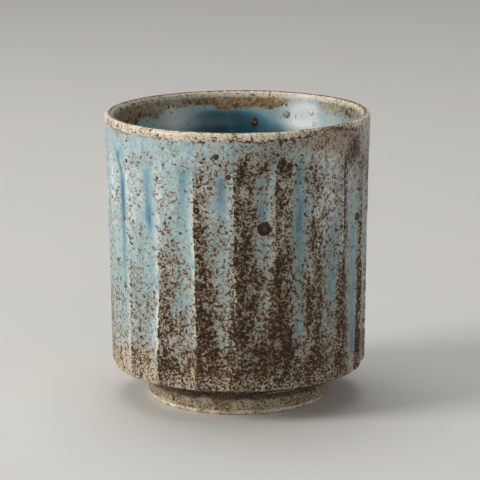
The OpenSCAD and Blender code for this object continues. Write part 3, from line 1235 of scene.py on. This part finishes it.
def turned(outline: Iterable[Sequence[float]], columns: int,
           wobble: Callable[[Array], Array] | None = None) -> list[Array]:
    """Rows of points round the axis for an outline.

    Args:
        outline: Points as radius and height. A radius of 0 makes a pole.
        columns: How many points a row has.
        wobble: Gives each point's move away from the axis, from the points.

    Returns:
        The rows.
    """
    angles = evenly(columns)
    rows = []
    for radius, z in outline:
        if radius == 0:
            rows.append(np.array([[0.0, 0.0, z]]))
            continue
        row = polar(radius, angles, z)
        rows.append(polar(radius + wobble(row), angles, z) if wobble else row)
    return rows


@dataclass
class Piece:
    """One piece of the cup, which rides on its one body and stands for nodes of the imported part."""

    name: str
    stands_for: tuple[str, ...]
    slot: str

    def show(self, mesh: bpy.types.Mesh, material: bpy.types.Material) -> bpy.types.Object:
        """Puts the piece into the scene.

        Args:
            mesh: Its mesh.
            material: Its finish.

        Returns:
            The object.
        """
        shown = bpy.data.objects.new(self.name, mesh)
        bpy.context.scene.collection.objects.link(shown)
        mesh.materials.append(material)
        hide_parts(*self.stands_for)
        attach(shown, BODY)
        LOG.info("%s: %d faces, for %s", self.name, len(mesh.polygons), ", ".join(self.stands_for))
        return shown


@dataclass
class FlutedWall:
    """The clay cup and the coat on its fluted outside."""

    flutes: Flutes
    firing: Firing
    row_step: float = 0.55
    under_step: float = 5.0
    clay_step: float = 2.0
    inside_step: float = 4.0
    edge_steps: int = 10
    under_blend: float = 0.4
    lip_inset: float = 0.9
    across: tuple[float, ...] = (
        0, 0.02, 0.045, 0.08, 0.125, 0.18, 0.24, 0.31, 0.38, 0.45, 0.52, 0.59,
        0.65, 0.70, 0.75, 0.79, 0.825, 0.86, 0.89, 0.915, 0.94, 0.96, 0.975, 0.99,
    )

    def columns(self) -> Array:
        """Angles of the mesh's columns, closest together at the ridges and valleys.

        Returns:
            The angles in rising order, from -180 to 180.
        """
        count = self.flutes.count
        numbers = np.arange(-count // 2, count // 2)
        near, far = self.flutes.ridge(numbers), self.flutes.ridge(numbers + 1)
        angles = near[:, None] + (far - near)[:, None] * np.array(self.across)
        return np.sort((angles.ravel() + 180) % 360 - 180)

    def outline(self, step: float) -> list[tuple[float, float]]:
        """The coat's outer outline, from the lip's band down and under to the foot.

        Args:
            step: The longest gap between two points.

        Returns:
            Radii and heights.
        """
        form = self.flutes.form
        top = (float(form.plain_r(form.band_z)), form.band_z)
        seam = (form.foot_top_r + form.seam_reach, form.foot_h - form.seam_drop)
        arc = fillet(top, form.edge_corner, seam, form.edge_round, self.edge_steps)
        return stretch(top, arc[0], step)[:-1] + arc + stretch(arc[-1], seam, step)[1:]

    def at(self, angle: Array, z: Array) -> Array:
        """Points of the fluted wall, at the angles where they end up."""
        return self.flutes.surface(self.flutes.before(angle, z), z)

    def under(self, step: float) -> list[tuple[float, float]]:
        """The outline again, raised by the coat's thickness where it runs under the cup."""
        form = self.flutes.form
        return [(radius, z + form.coat_t * (z < form.edge_corner[1])) for radius, z in self.outline(step)]

    def rows(self, outline: Sequence[Sequence[float]], sink: float) -> tuple[list[Array], list[Array]]:
        """Points of the fluted surface along an outline.

        Args:
            outline: Points as radius and height.
            sink: How far the points lie under the surface.

        Returns:
            The rows of points, and the rows of heights.
        """
        angles = self.columns()
        rows, heights = [], []
        for radius, z in outline:
            level = np.full(len(angles), float(z))
            spots = self.flutes.surface(angles, level, sink)
            if float(self.flutes.form.plain_r(z)) - radius > 0.05:
                around = np.hypot(spots[:, 0], spots[:, 1])
                spots[:, :2] *= (soft_min(radius - sink, around, self.under_blend) / around)[:, None]
            rows.append(spots)
            heights.append(level)
        return rows, heights

    def coat(self, material: bpy.types.Material) -> bpy.types.Object:
        """Builds the coat on the outside.

        Args:
            material: Its finish.

        Returns:
            The piece's object.
        """
        form = self.flutes.form
        outer, heights = self.rows(self.outline(self.row_step), 0.0)
        inner, _ = self.rows(self.under(self.under_step), form.coat_t)
        angles = self.columns()
        marks = self.firing.marks(np.tile(angles, (len(heights), 1)), np.array(heights))
        blank = np.zeros((len(inner), len(angles)))
        kept = {mark: np.concatenate([amount, blank]) for mark, amount in marks.items()}
        mesh = ring_mesh("fluted_coat", outer + inner[::-1], kept)
        return Piece("fluted_coat", ("outer_glaze",), "outer_glaze").show(mesh, material)

    def clay(self, lining: "Lining", material: bpy.types.Material) -> bpy.types.Object:
        """Builds the thrown cup of clay under all its coats.

        Args:
            lining: The lining, which gives the clay its inside.
            material: Its finish.

        Returns:
            The piece's object.
        """
        form = self.flutes.form
        angles = self.columns()
        floor_z = lining.floor_z - form.coat_t
        outer, _ = self.rows(self.under(self.clay_step), form.coat_t)
        lip = [
            polar(radius, angles, form.height - form.coat_t)
            for radius in (lining.lip_r + self.lip_inset, form.rim_r - self.lip_inset)
        ]
        inside = [
            polar(radius + form.coat_t, angles, max(z - form.coat_t, floor_z))
            for radius, z in lining.outline(self.inside_step) if radius > 0
        ]
        floor, bottom = np.array([[0.0, 0.0, floor_z]]), np.array([[0.0, 0.0, form.foot_h]])
        mesh = ring_mesh("thrown_clay", [floor] + inside[::-1] + lip + outer + [bottom])
        return Piece("thrown_clay", ("clay_body",), "clay").show(mesh, material)


@dataclass
class Lip:
    """The ash glaze over the rounded lip."""

    wall: FlutedWall
    lining: "Lining"
    lip_round: float = 1.2
    arc_steps: int = 9
    row_step: float = 0.35
    lift: float = 0.10
    lift_size: float = 14.0
    inset: float = 0.9
    top_t: float = 0.6
    inner_share: float = 0.3
    corner_dark_start: float = 0.36
    corner_dark_r: float = 0.85
    corner_dark_w: float = 0.7
    corner_dark: float = 0.95

    def outline(self) -> list[tuple[float, float]]:
        """The lip's outline, from its outside over the top to its inside.

        Returns:
            Radii and heights.
        """
        form = self.wall.flutes.form
        outer = (float(form.plain_r(form.band_z)), form.band_z)
        inner = (self.lining.wall_r(form.band_z), form.band_z)
        near, far = (form.rim_r, form.height), (self.lining.lip_r, form.height)
        arc = fillet(outer, near, far, self.lip_round, self.arc_steps)
        arc += fillet(near, far, inner, self.lip_round, self.arc_steps)
        return stretch(outer, arc[0], self.row_step)[:-1] + arc + stretch(arc[-1], inner, self.row_step)[1:]

    def amounts(self, firing: Firing, rows: Sequence[Array], inner: Array,
                blank: Array) -> dict[Mark, Array]:
        """The marks on the lip, with dense dark specks along its inner corner.

        Args:
            firing: The marks outside.
            rows: The rows of points.
            inner: Which rows lie inside.
            blank: The amounts on its back.

        Returns:
            For each mark, the amounts row by row.
        """
        angles = self.wall.columns()
        radii, heights = (np.array(column) for column in zip(*self.outline()))
        outside = firing.marks(np.tile(angles, (len(rows), 1)), np.repeat(heights[:, None], len(angles), 1))
        within = self.lining.marks(np.concatenate(rows))
        off = radii - self.lining.lip_r
        corner_dark = self.corner_dark * bell(off, self.corner_dark_r, self.corner_dark_w) * (off > self.corner_dark_start)
        kept = {}
        for mark, amount in outside.items():
            inner_amount = within.get(mark, 0.0 * amount).reshape(amount.shape)
            amount = np.where(inner[:, None], inner_amount, amount)
            if mark is Mark.IRON:
                amount = np.clip(amount + corner_dark[:, None], 0, 1)
            kept[mark] = np.concatenate([amount, blank])
        return kept

    def band(self, firing: Firing, outside: bpy.types.Material,
             inside: bpy.types.Material) -> bpy.types.Object:
        """Builds the band of ash glaze.

        Args:
            firing: The marks outside.
            outside: The finish outside and over the top.
            inside: The finish inside.

        Returns:
            The band.
        """
        form = self.wall.flutes.form
        angles = self.wall.columns()
        rows = []
        for radius, z in self.outline():
            ring = polar(radius, angles, z)
            drop = np.abs(self.lift * grain(ring, self.lift_size, 5.2))
            ring[:, 2] -= drop * smooth(form.band_z, form.height, z)
            rows.append(ring)
        rows[0] = self.wall.flutes.surface(angles, np.full(len(angles), form.band_z))
        inner = np.array([radius for radius, _ in self.outline()]) < (
            (form.rim_r + self.lining.lip_r) / 2 - self.inner_share)
        back = [
            polar(radius, angles, z) for radius, z in (
                (self.lining.wall_r(form.band_z) + form.coat_t, form.band_z),
                (self.lining.lip_r + self.inset, form.height - self.top_t),
                (form.rim_r - self.inset, form.height - self.top_t),
                (float(form.plain_r(form.band_z)) - form.coat_t, form.band_z))
        ]
        blank = np.zeros((len(back), len(angles)))
        mesh = ring_mesh("lip_band", rows + back, self.amounts(firing, rows, inner, blank))
        shown = Piece("lip_band", ("rim_glaze",), "rim_glaze").show(mesh, outside)
        mesh.materials.append(inside)
        bands = np.repeat(np.append(inner, np.ones(len(back), bool)), len(angles))
        mesh.polygons.foreach_set("material_index", bands.astype(np.int32))
        return shown


@dataclass
class Lining:
    """The poured coat inside the cup, over the rings that throwing left."""

    form: CupForm
    lip_r: float = 37.54
    bend: tuple[float, float] = (35.63, 73.8)
    middle: tuple[float, float] = (35.1, 48.65)
    floor_corner: tuple[float, float] = (34.5, 12.3)
    floor_round: float = 8.5
    ring_gap: float = 6.5
    ring_depth: float = 0.09
    ring_sway: float = 20.0
    run_z: float = 83.2
    run_depth: float = 3.0
    run_sway: float = 1.2
    run_ring_r: float = 9.0
    behind_half: float = 48.0
    beside: tuple[float, float] = (-112.0, 24.0)
    beside_depth: float = 2.6
    bare_lip_z: tuple[float, float] = (84.4, 86.4)
    lip_iron_z: tuple[float, float] = (83.0, 86.5)
    deep_z: tuple[float, float] = (72.0, 24.0)
    floor_steps: int = 12
    row_step: float = 0.7
    back_step: float = 6.0
    column_count: int = 288
    patches: tuple[Patch, ...] = (
        # The milk patches are painted highlights and reflections on the gloss inside; the iron and ash taken
        # away at 145 degrees clear the ground under the brightest one.
        *lay_patches(Mark.MILK, (-146.2, 82.6, 3.0, 1.9, 0.55), (141.2, 82.2, 4.0, 2.2, 0.7),
            (138.9, 78.4, 3.0, 1.8, 0.6), (148, 80, 8, 5.5, 1.3), (130, 80, 12, 4, 0.4),
            (-148, 79, 9, 5.5, 0.75)),
        # The pool patches deepen the teal at the back and sides: partly glaze pooled there, partly painted
        # shade where the inside faces away from the key lamp.
        *lay_patches(Mark.POOL, (-173, 77, 20, 4.5, 0.85), (172, 70, 34, 8, 0.6), (148, 72, 14, 4, 0.5),
            (-135, 70, 30, 8, 0.6), (-60, 60, 60, 14, 0.45), (70, 58, 50, 12, 0.4)),
        *lay_patches(Mark.IRON, (145, 82.5, 10, 3.5, -0.75), (-112, 83, 24, 3.5, 0.45),
            (112, 83.5, 12, 2.4, 0.5)),
        *lay_patches(Mark.ASH, (145, 82.0, 10, 3.0, -0.6)),
    )

    @property
    def floor_z(self) -> float:
        """Height of the glazed floor."""
        return self.floor_corner[1]

    def wall_r(self, z: float) -> float:
        """Radius of the glazed wall inside, above its floor."""
        radii, heights = zip(self.floor_corner, self.middle, self.bend, (self.lip_r, self.form.height))
        return float(np.interp(z, heights, radii))

    def outline(self, step: float) -> list[tuple[float, float]]:
        """The lining's outline, from the lip's band down to the middle of the floor.

        Args:
            step: The longest gap between two points.

        Returns:
            Radii and heights.
        """
        top = (self.wall_r(self.form.band_z), self.form.band_z)
        centre = (0.0, self.floor_z)
        arc = fillet(self.middle, self.floor_corner, centre, self.floor_round, self.floor_steps)
        upper = stretch(top, self.bend, step)[:-1] + stretch(self.bend, self.middle, step)[:-1]
        return upper + stretch(self.middle, arc[0], step)[:-1] + arc + stretch(arc[-1], centre, step)[1:]

    def at(self, angle: Array, z: Array) -> Array:
        """Points of the lining at angles and heights."""
        return polar(np.array([self.wall_r(height) for height in z]), angle, z)

    def throwing(self, points: Array) -> Array:
        """How far the rings that throwing left move each point.

        Args:
            points: The points, in millimetres.

        Returns:
            The moves.
        """
        z = points[:, 2]
        ring = np.sin(2 * math.pi * (z / self.ring_gap) + 0.6 * grain(points, self.ring_sway))
        return self.ring_depth * ring * smooth(self.form.band_z, self.form.band_z - 8, z)

    def coat(self, material: bpy.types.Material) -> bpy.types.Object:
        """Builds the coat inside.

        Args:
            material: Its finish.

        Returns:
            The piece's object.
        """
        rows = turned(self.outline(self.row_step), self.column_count, self.throwing)
        thick = self.form.coat_t
        sunk = [
            (radius + thick * (z > self.floor_z + 1), z - thick * (z < self.form.band_z))
            for radius, z in self.outline(self.back_step)[:-1]
        ]
        pole = np.array([[0.0, 0.0, self.floor_z - thick]])
        everything = [pole] + turned(sunk, self.column_count)[::-1] + rows
        mesh = ring_mesh("lining", everything, self.marks(np.concatenate(everything)))
        return Piece("lining", ("inner_glaze",), "inner_glaze").show(mesh, material)

    def marks(self, points: Array) -> dict[Mark, Array]:
        """Works out the marks on the lining, with the runs of ash below the lip.

        Args:
            points: The points, in millimetres.

        Returns:
            For each mark, its amount at each point.
        """
        angle = np.degrees(np.arctan2(points[:, 0], -points[:, 1]))
        z = points[:, 2]
        ring = polar(self.run_ring_r, angle, 0.0)
        beside = bell(angle, *self.beside)
        behind = np.maximum(bell((angle + FULL_TURN) % FULL_TURN - 180, 0, self.behind_half), 0.7 * beside)
        drips = np.clip(grain(ring, 1.4, 2.2) + 0.35, 0, 1)
        runs = self.run_depth * drips + self.run_sway * grain(ring, 5.0, 4.4)
        over = z - (self.run_z - runs - self.beside_depth * beside)
        bare = smooth(*self.bare_lip_z, z)
        run = smooth(-0.6, 0.5, over) * smooth(3.2, 1.2, over)
        found = {
            Mark.MILK: 0.0 * z,
            Mark.POOL: 0.32 * smooth(*self.deep_z, z),
            Mark.IRON: 0.05 + 0.75 * behind * run + 0.20 * smooth(*self.lip_iron_z, z),
            Mark.CREST: bare,
            Mark.ASH: np.maximum((0.4 + 0.6 * behind) * smooth(-0.7, 0.9, over), bare),
        }
        for patch in self.patches:
            found[patch.mark] = found[patch.mark] + patch.amount(angle, z)
        return {mark: np.clip(amount, 0, 1) for mark, amount in found.items()}


@dataclass
class Foot:
    """The turned foot, its thin coat, the coat in its hollow and the glaze pooled above it."""

    form: CupForm
    hollow_h: float = 6.0
    ring_w: float = 4.6
    hollow_r: float = 21.7
    edge_round: float = 0.9
    side_step: float = 0.7
    hollow_step: float = 1.0
    roof_step: float = 4.0
    roof_end_r: float = 1.0
    bare_h: float = 1.45
    border_waves: tuple[tuple[float, float, float], ...] = ((0.35, 5.0, 6.1), (0.2, 1.5, 2.9))
    coat_top_z: float = 6.4
    coat_t: float = 0.3
    coat_sink: float = 0.1
    hollow_border: tuple[tuple[float, float], ...] = ((0.28, 1.9), (0.5, 2.3))
    hollow_sunk_z: float = 1.7
    hollow_side: tuple[float, float] = (0.25, 4.4)
    hollow_round: float = 1.5
    hollow_coat_step: float = 2.0
    pooled: float = 1.25
    pooled_stray: float = 0.3
    pooled_overlap: float = 0.2
    pooled_steps: int = 9
    column_count: int = 240
    wave: float = 0.06
    wave_size: float = 6.0
    coat_shares: tuple[float, ...] = (0, 0.02, 0.05, 0.12, 0.25, 0.4, 0.55, 0.7, 0.85, 1)
    coat_swells: tuple[float, ...] = (0, 0.17, 0.25, 0.3, 0.3, 0.3, 0.3, 0.3, 0.3, 0.3)
    pooled_shadow_z: tuple[float, float] = (2.9, 6.0)
    pooled_shadow_ragged: float = 0.7

    def waves(self, points: Array) -> Array:
        """Small unevenness left by turning."""
        return self.wave * grain(points, self.wave_size, 1.7)

    def clay(self, material: bpy.types.Material) -> bpy.types.Object:
        """Builds the foot of clay.

        Args:
            material: Its finish.

        Returns:
            The piece's object.
        """
        form = self.form
        side_top = (form.foot_top_r, form.foot_h)
        stands, ring = (form.foot_r, 0.0), (form.foot_r - self.ring_w, 0.0)
        roof = (self.hollow_r, self.hollow_h)
        outer = fillet(side_top, stands, ring, self.edge_round)
        inner = fillet(stands, ring, roof, self.edge_round)
        side = stretch(side_top, outer[0], self.side_step)[1:-1]
        outline = [(0.0, form.foot_h), side_top] + side + outer + inner
        outline += stretch(inner[-1], roof, self.hollow_step)[1:]
        outline += stretch(roof, (self.roof_end_r, self.hollow_h), self.roof_step)[1:]
        rows = turned(outline + [(0.0, self.hollow_h)], self.column_count, self.waves)
        return Piece("foot", ("foot_ring",), "foot_clay").show(ring_mesh("foot", rows), material)

    def coat(self, material: bpy.types.Material) -> bpy.types.Object:
        """Builds the thin coat round the foot, with a wavy lower border and a dark band at its top, which is
        pooled glaze and painted shadow under the wall's overhang.

        Args:
            material: Its finish.

        Returns:
            The piece's object.
        """
        angles = evenly(self.column_count)
        ring = polar(self.form.foot_r, angles, 0.0)
        waves = sum(share * grain(ring, size, seed) for share, size, seed in self.border_waves)
        border = self.bare_h + waves
        outer, inner = [], []
        for share, swell in zip(self.coat_shares, self.coat_swells):
            z = border + (self.coat_top_z - border) * share
            side = self.form.foot_side_r(z)
            base = side + self.waves(polar(side, angles, z))
            outer.append(polar(base + swell, angles, z))
            inner.append(polar(base - self.coat_sink, angles, z))
        rows = outer[::-1] + inner
        points = np.concatenate(rows)
        # Painted shadow: the pool amount darkens the coat's top, partly glaze pooled there, partly the shade
        # under the overhanging wall.
        ragged_z = points[:, 2] + self.pooled_shadow_ragged * grain(points, 3.0, 4.6)
        kept = {Mark.POOL: smooth(*self.pooled_shadow_z, ragged_z)}
        mesh = ring_mesh("foot_coat", rows, kept)
        return Piece("foot_coat", ("foot_glaze",), "foot_glaze").show(mesh, material)

    def hollow_coat(self, material: bpy.types.Material) -> bpy.types.Object:
        """Builds the coat in the foot's hollow.

        Args:
            material: Its finish.

        Returns:
            The piece's object.
        """
        low_r = self.form.foot_r - self.ring_w
        face_z, face_r = self.hollow_h - self.coat_t, self.hollow_r - self.coat_t
        side = [(low_r - inset, z) for inset, z in self.hollow_border]
        side.append((face_r + self.hollow_side[0], self.hollow_side[1]))
        arc = fillet(side[-1], (face_r, face_z), (0.0, face_z), self.hollow_round)
        sunk_z = self.hollow_h + self.coat_sink
        outline = [(0.0, sunk_z), (self.hollow_r + self.coat_sink, sunk_z)]
        outline += [(low_r + self.coat_sink, self.hollow_sunk_z)] + side + arc
        outline += stretch(arc[-1], (self.roof_end_r, face_z), self.hollow_coat_step)[1:] + [(0.0, face_z)]
        mesh = ring_mesh("hollow_coat", turned(outline, self.column_count, self.waves))
        return Piece("hollow_coat", ("base_glaze",), "base_glaze").show(mesh, material)

    def pooled_seam(self, material: bpy.types.Material) -> bpy.types.Object:
        """Builds the glaze that pooled in the corner above the foot.

        Args:
            material: Its finish.

        Returns:
            The piece's object.
        """
        form = self.form
        angles = evenly(self.column_count)
        size = self.pooled + self.pooled_stray * grain(polar(form.foot_r, angles, 0.0), 7.0, 9.3)
        side_r, sunk_r = form.foot_top_r + form.foot_coat_t, form.foot_top_r - self.pooled_overlap
        top_z = form.foot_h - form.seam_drop
        rows = [
            polar(side_r + size * (1 - math.sin(turn)), angles, top_z - size * (1 - math.cos(turn)))
            for turn in np.radians(np.linspace(0, 90, self.pooled_steps))
        ]
        rows.append(polar(sunk_r, angles, top_z - size))
        rows.append(polar(sunk_r, angles, top_z + self.pooled_overlap))
        rows.append(polar(side_r + size, angles, top_z + self.pooled_overlap))
        mesh = ring_mesh("pooled_seam", rows)
        return Piece("pooled_seam", ("seam_glaze",), "seam_glaze").show(mesh, material)


@dataclass(frozen=True)
class Bead:
    """A raised spot of melted iron, with its place and width."""

    angle: float
    z: float
    width: float
    # Painted highlight: how much pale glint is painted on the bead.
    milk: float = 0.0


@dataclass
class IronBeads:
    """Beads of melted iron that stand proud of a coat."""

    name: str
    node: str
    surface: Callable[[Array, Array], Array]
    outward: float
    beads: tuple[Bead, ...]
    height_share: float = 0.09
    dark_width: float = 3.5
    small_glow: float = 1.5
    large_glow: float = 1.25
    spokes: int = 18
    sharp: float = 60.0
    sunk: float = 0.15
    seated: float = 0.01
    dome: float = 2.5
    outline_stray: float = 0.13
    outline_size: float = 0.9
    ring_shares: tuple[float, ...] = (0.25, 0.5, 0.72, 0.88, 1.0)

    def one(self, bead: Bead, number: int) -> list[Array]:
        """Rows of one bead, from its top to the middle of its seat.

        Args:
            bead: The bead.
            number: Its number, which gives it its own outline.

        Returns:
            The rows, of which the first and last are poles.
        """
        turns = np.arange(self.spokes) * 2 * math.pi / self.spokes
        circle = np.stack([np.cos(turns), np.sin(turns), 0 * turns + number], -1)
        outline = 1 + self.outline_stray * grain(circle, self.outline_size)
        spot = self.surface(np.array([bead.angle]), np.array([bead.z]))[0]
        out = Vector((spot[0], spot[1], 0)).normalized() * self.outward
        round_mm = math.hypot(spot[0], spot[1])
        rows = [np.array([spot + np.array(out) * self.height_share * bead.width])]
        for share in self.ring_shares:
            reach = bead.width / 2 * share * outline
            angle = bead.angle + np.degrees(reach * np.cos(turns) / round_mm) * self.outward
            seat = self.surface(angle, bead.z + reach * np.sin(turns))
            rise = self.height_share * bead.width * (1 - share ** self.dome) - self.seated
            rows.append(seat + np.array(out) * rise)
        sunk = np.array(out) * self.sunk
        return rows + [rows[-1] - sunk, np.array([spot - sunk])]

    def build(self, material: bpy.types.Material) -> bpy.types.Object:
        """Builds all beads as one piece of separate solids.

        Args:
            material: Its finish.

        Returns:
            The piece's object.
        """
        points: list[Array] = []
        faces: list[list[int]] = []
        shares = np.repeat(np.append(1 - np.array(self.ring_shares), 0.0), self.spokes)
        heart = np.concatenate([[1.0], shares, [0.0]])
        hearts, milk = [], []
        for number, bead in enumerate(self.beads):
            rows = self.one(bead, number)
            faces += ring_faces(rows, number * len(heart))
            points += rows
            hearts.append(heart * (self.large_glow if bead.width > self.dark_width else self.small_glow))
            milk.append(np.full(len(heart), bead.milk))
        amounts = {Mark.HEART: np.concatenate(hearts), Mark.MILK: np.concatenate(milk)}
        mesh = closed_mesh(self.name, np.concatenate(points), faces, amounts, self.sharp)
        return Piece(self.name, (self.node,), "iron").show(mesh, material)


@dataclass(frozen=True)
class IronFinish:
    """Melted iron: nearly black at its rim and rusty in its heart, with a painted highlight on some beads.
    """

    name: str
    gloss: Gloss = Gloss()
    islands: tuple[float, float] = (0.9, 1.0)
    grit: float = 0.05
    grit_size: float = 0.4

    def make(self) -> bpy.types.Material:
        """Builds the material.

        Returns:
            The material.
        """
        paint = Layers(self.name)
        islands = paint.clouds(*self.islands)
        heart = paint.plus(paint.amount(Mark.HEART), paint.times(islands, 0.3))
        paint.colour = paint.blend(paint.step(heart, 0.8, 1.35), Tone.UMBER_DARK, Tone.RUST)
        paint.lay(Tone.UMBER, paint.step(islands, 0.3, 0.9), 0.75)
        # Painted highlight: cream laid on the beads that carry it.
        paint.lay(Tone.CREAM, paint.amount(Mark.MILK), paint.step(heart, 0.1, 0.5))
        rough = paint.step(islands, 0.0, 1.0, 0.3, 0.5)
        return paint.done(self.gloss, rough, paint.times(paint.swell(self.grit_size), self.grit))


@dataclass(frozen=True)
class Lamp:
    """A soft square lamp that faces the cup."""

    name: str
    spot: tuple[float, float, float]
    width: float
    power: float


@dataclass
class Studio:
    """The pale floor, the lamps and the camera, in metres."""

    lamps: tuple[Lamp, ...] = (
        Lamp("key", (-1.10, -0.36, 0.60), 0.5, 11.5),
        Lamp("fill", (0.55, -1.2, 0.6), 0.9, 1.8),
        Lamp("top", (-0.1, 0.30, 1.2), 0.8, 5.0),
    )
    sky: float = 0.22
    backdrop: tuple[float, float, float, float] = (0.7, 0.7, 0.69, 1.0)
    floor_w: float = 6.0
    floor_gap: float = 0.00002
    floor_rough: float = 0.75
    shade_w: float = 60.0
    aim_z: float = 0.045
    camera_y: float = -0.80132
    camera_z: float = 0.22227
    focal_px: float = 2702.3
    frame_px: float = 480.0
    sensor_mm: float = 36.0
    pitch: float = 0.214854
    yaw: float = 0.000766
    roll: float = -0.005152

    def floor(self) -> bpy.types.Object:
        """Lays the pale floor.

        Returns:
            The floor's object.
        """
        half = self.floor_w / 2
        mesh = bpy.data.meshes.new("floor")
        low = -self.floor_gap
        corners = [(-half, -half, low), (half, -half, low), (half, half, low), (-half, half, low)]
        mesh.from_pydata(corners, [], [(0, 1, 2, 3)])
        laid = bpy.data.objects.new("floor", mesh)
        bpy.context.scene.collection.objects.link(laid)
        paint = Layers("pale_floor")
        shade = paint.times(paint.clouds(self.shade_w, 1.0), 0.15)
        paint.colour = paint.blend(shade, Tone.FLOOR, Tone.CREAM)
        shader = paint.tree.nodes["Principled BSDF"]
        paint.feed(shader.inputs["Base Color"], paint.colour)
        paint.feed(shader.inputs["Roughness"], self.floor_rough)
        mesh.materials.append(paint.material)
        return laid

    def light(self) -> None:
        """Hangs the lamps and sets the sky, which the camera and reflections see as a pale backdrop."""
        for lamp in self.lamps:
            data = bpy.data.lights.new(lamp.name, "AREA")
            data.size = lamp.width
            data.energy = lamp.power
            hung = bpy.data.objects.new(lamp.name, data)
            hung.location = lamp.spot
            way = Vector((0, 0, self.aim_z)) - Vector(lamp.spot)
            hung.rotation_euler = way.to_track_quat("-Z", "Y").to_euler()
            bpy.context.scene.collection.objects.link(hung)
        world = bpy.data.worlds.new("studio")
        world.use_nodes = True
        bpy.context.scene.world = world
        sketch = Sketch(world.node_tree)
        dim = world.node_tree.nodes["Background"]
        dim.inputs["Strength"].default_value = self.sky
        dim.inputs["Color"].default_value = (1, 1, 1, 1)
        white = sketch.node("Background", {"Strength": 1.0, "Color": self.backdrop})
        rays = sketch.node("LightPath").outputs
        seen = sketch.most(rays["Is Camera Ray"], rays["Is Glossy Ray"], rays["Is Transmission Ray"])
        mixed = sketch.node("MixShader", {0: seen, 1: dim.outputs[0], 2: white.outputs[0]})
        sketch.feed(world.node_tree.nodes["World Output"].inputs["Surface"], mixed.outputs[0])

    def camera(self) -> bpy.types.Object:
        """Sets the camera where the photograph was taken from.

        Returns:
            The camera's object.
        """
        data = bpy.data.cameras.new("camera")
        data.sensor_width = self.sensor_mm
        data.lens = self.focal_px / self.frame_px * self.sensor_mm
        flat = math.cos(self.pitch)
        ahead = Vector((math.sin(self.yaw) * flat, math.cos(self.yaw) * flat, -math.sin(self.pitch)))
        level = Vector((math.cos(self.yaw), -math.sin(self.yaw), 0))
        over = level.cross(ahead)
        right = math.cos(self.roll) * level + math.sin(self.roll) * over
        up = math.cos(self.roll) * over - math.sin(self.roll) * level
        placed = bpy.data.objects.new("camera", data)
        turn = Matrix((right, up, -ahead)).transposed().to_4x4()
        placed.matrix_world = Matrix.Translation((0, self.camera_y, self.camera_z)) @ turn
        bpy.context.scene.collection.objects.link(placed)
        bpy.context.scene.camera = placed
        return placed

    def build(self) -> None:
        """Sets up the whole studio."""
        self.floor()
        self.light()
        self.camera()
        bpy.context.scene.view_settings.view_transform = "Standard"


def outer_beads() -> tuple[Bead, ...]:
    """The raised spots outside: those that stand out, and small ones strewn by chance.

    Returns:
        The beads.
    """
    named = (
        Bead(11.4, 58.8, 4.2), Bead(-17.8, 64.3, 2.1), Bead(-4.0, 74.3, 1.7), Bead(-8.9, 80.4, 1.7),
        Bead(67.0, 57.6, 2.6), Bead(-40.4, 38.1, 1.2), Bead(-62.4, 37.5, 1.1), Bead(62.5, 49.0, 1.3),
        Bead(5.5, 70.8, 1.1), Bead(-55.3, 76.3, 1.3), Bead(124.0, 50.0, 2.6), Bead(174.0, 31.0, 2.1),
        Bead(-150.0, 57.0, 3.0), Bead(126.0, 80.0, 2.0),
    )
    strewn_count = 50
    angles, heights, widths = (-180, 180), (16, 83), (0.6, 1.1)
    chance = np.random.default_rng(17)
    return named + tuple(
        Bead(*(float(chance.uniform(*span)) for span in (angles, heights, widths)))
        for _ in range(strewn_count)
    )


def inner_beads() -> tuple[Bead, ...]:
    """The raised spots inside, some of them with a painted highlight.

    Returns:
        The beads.
    """
    return (
        Bead(171.3, 77.4, 2.8), Bead(155.1, 80.4, 2.4, 0.35), Bead(-146.2, 82.2, 2.2, 0.85),
        Bead(141.2, 81.8, 2.2, 1.0), Bead(138.9, 78.1, 1.8, 0.8), Bead(28.8, 77.5, 2.0),
    )


def main() -> None:
    """Builds the cup piece by piece, and then the studio round it."""
    logging.basicConfig(level=logging.INFO, format="%(message)s")
    form = CupForm.from_frame()
    flutes = Flutes(form)
    firing = Firing(flutes)
    wall = FlutedWall(flutes, firing)
    lining = Lining(form)
    wall_glaze = WallGlaze("celadon_with_iron").make()
    wall.coat(wall_glaze)
    poured = LiningGlaze("poured_lining").make()
    lip_glaze = WallGlaze("ash_over_celadon", 0.3, Gloss(specular=0.2, coat=0.3, bump=0.6)).make()
    Lip(wall, lining).band(firing, lip_glaze, poured)
    lining.coat(poured)
    bare = ClayFinish("bare_stoneware", Tone.CLAY, Tone.CLAY_DARK, 0.25, 0.85, grit=0.08).make()
    wall.clay(lining, bare)
    foot = Foot(form)
    foot.clay(bare)
    thin = ClayFinish("foot_ash", Tone.FOOT_TAN, Tone.FOOT_BROWN, 0.5, 0.5, tint=Tone.SEA, tint_share=0.35)
    foot.coat(thin.make())
    foot.hollow_coat(ClayFinish("hollow_celadon", Tone.CELADON, Tone.CELADON_GREY, 0.35, 0.4).make())
    # The pooled seam's near-black is partly its glaze and partly painted shadow under the wall.
    foot.pooled_seam(ClayFinish("pooled_glaze_and_shadow", Tone.SLATE_AND_SHADOW, Tone.UMBER, 0.3, 0.25, grit=0.02).make())
    iron = IronFinish("melted_iron").make()
    IronBeads("raised_iron", "outer_iron_spots", wall.at, 1.0, outer_beads()).build(iron)
    IronBeads("lining_iron", "inner_iron_spots", lining.at, -1.0, inner_beads()).build(iron)
    Studio().build()


if __name__ == "__main__":
    main()
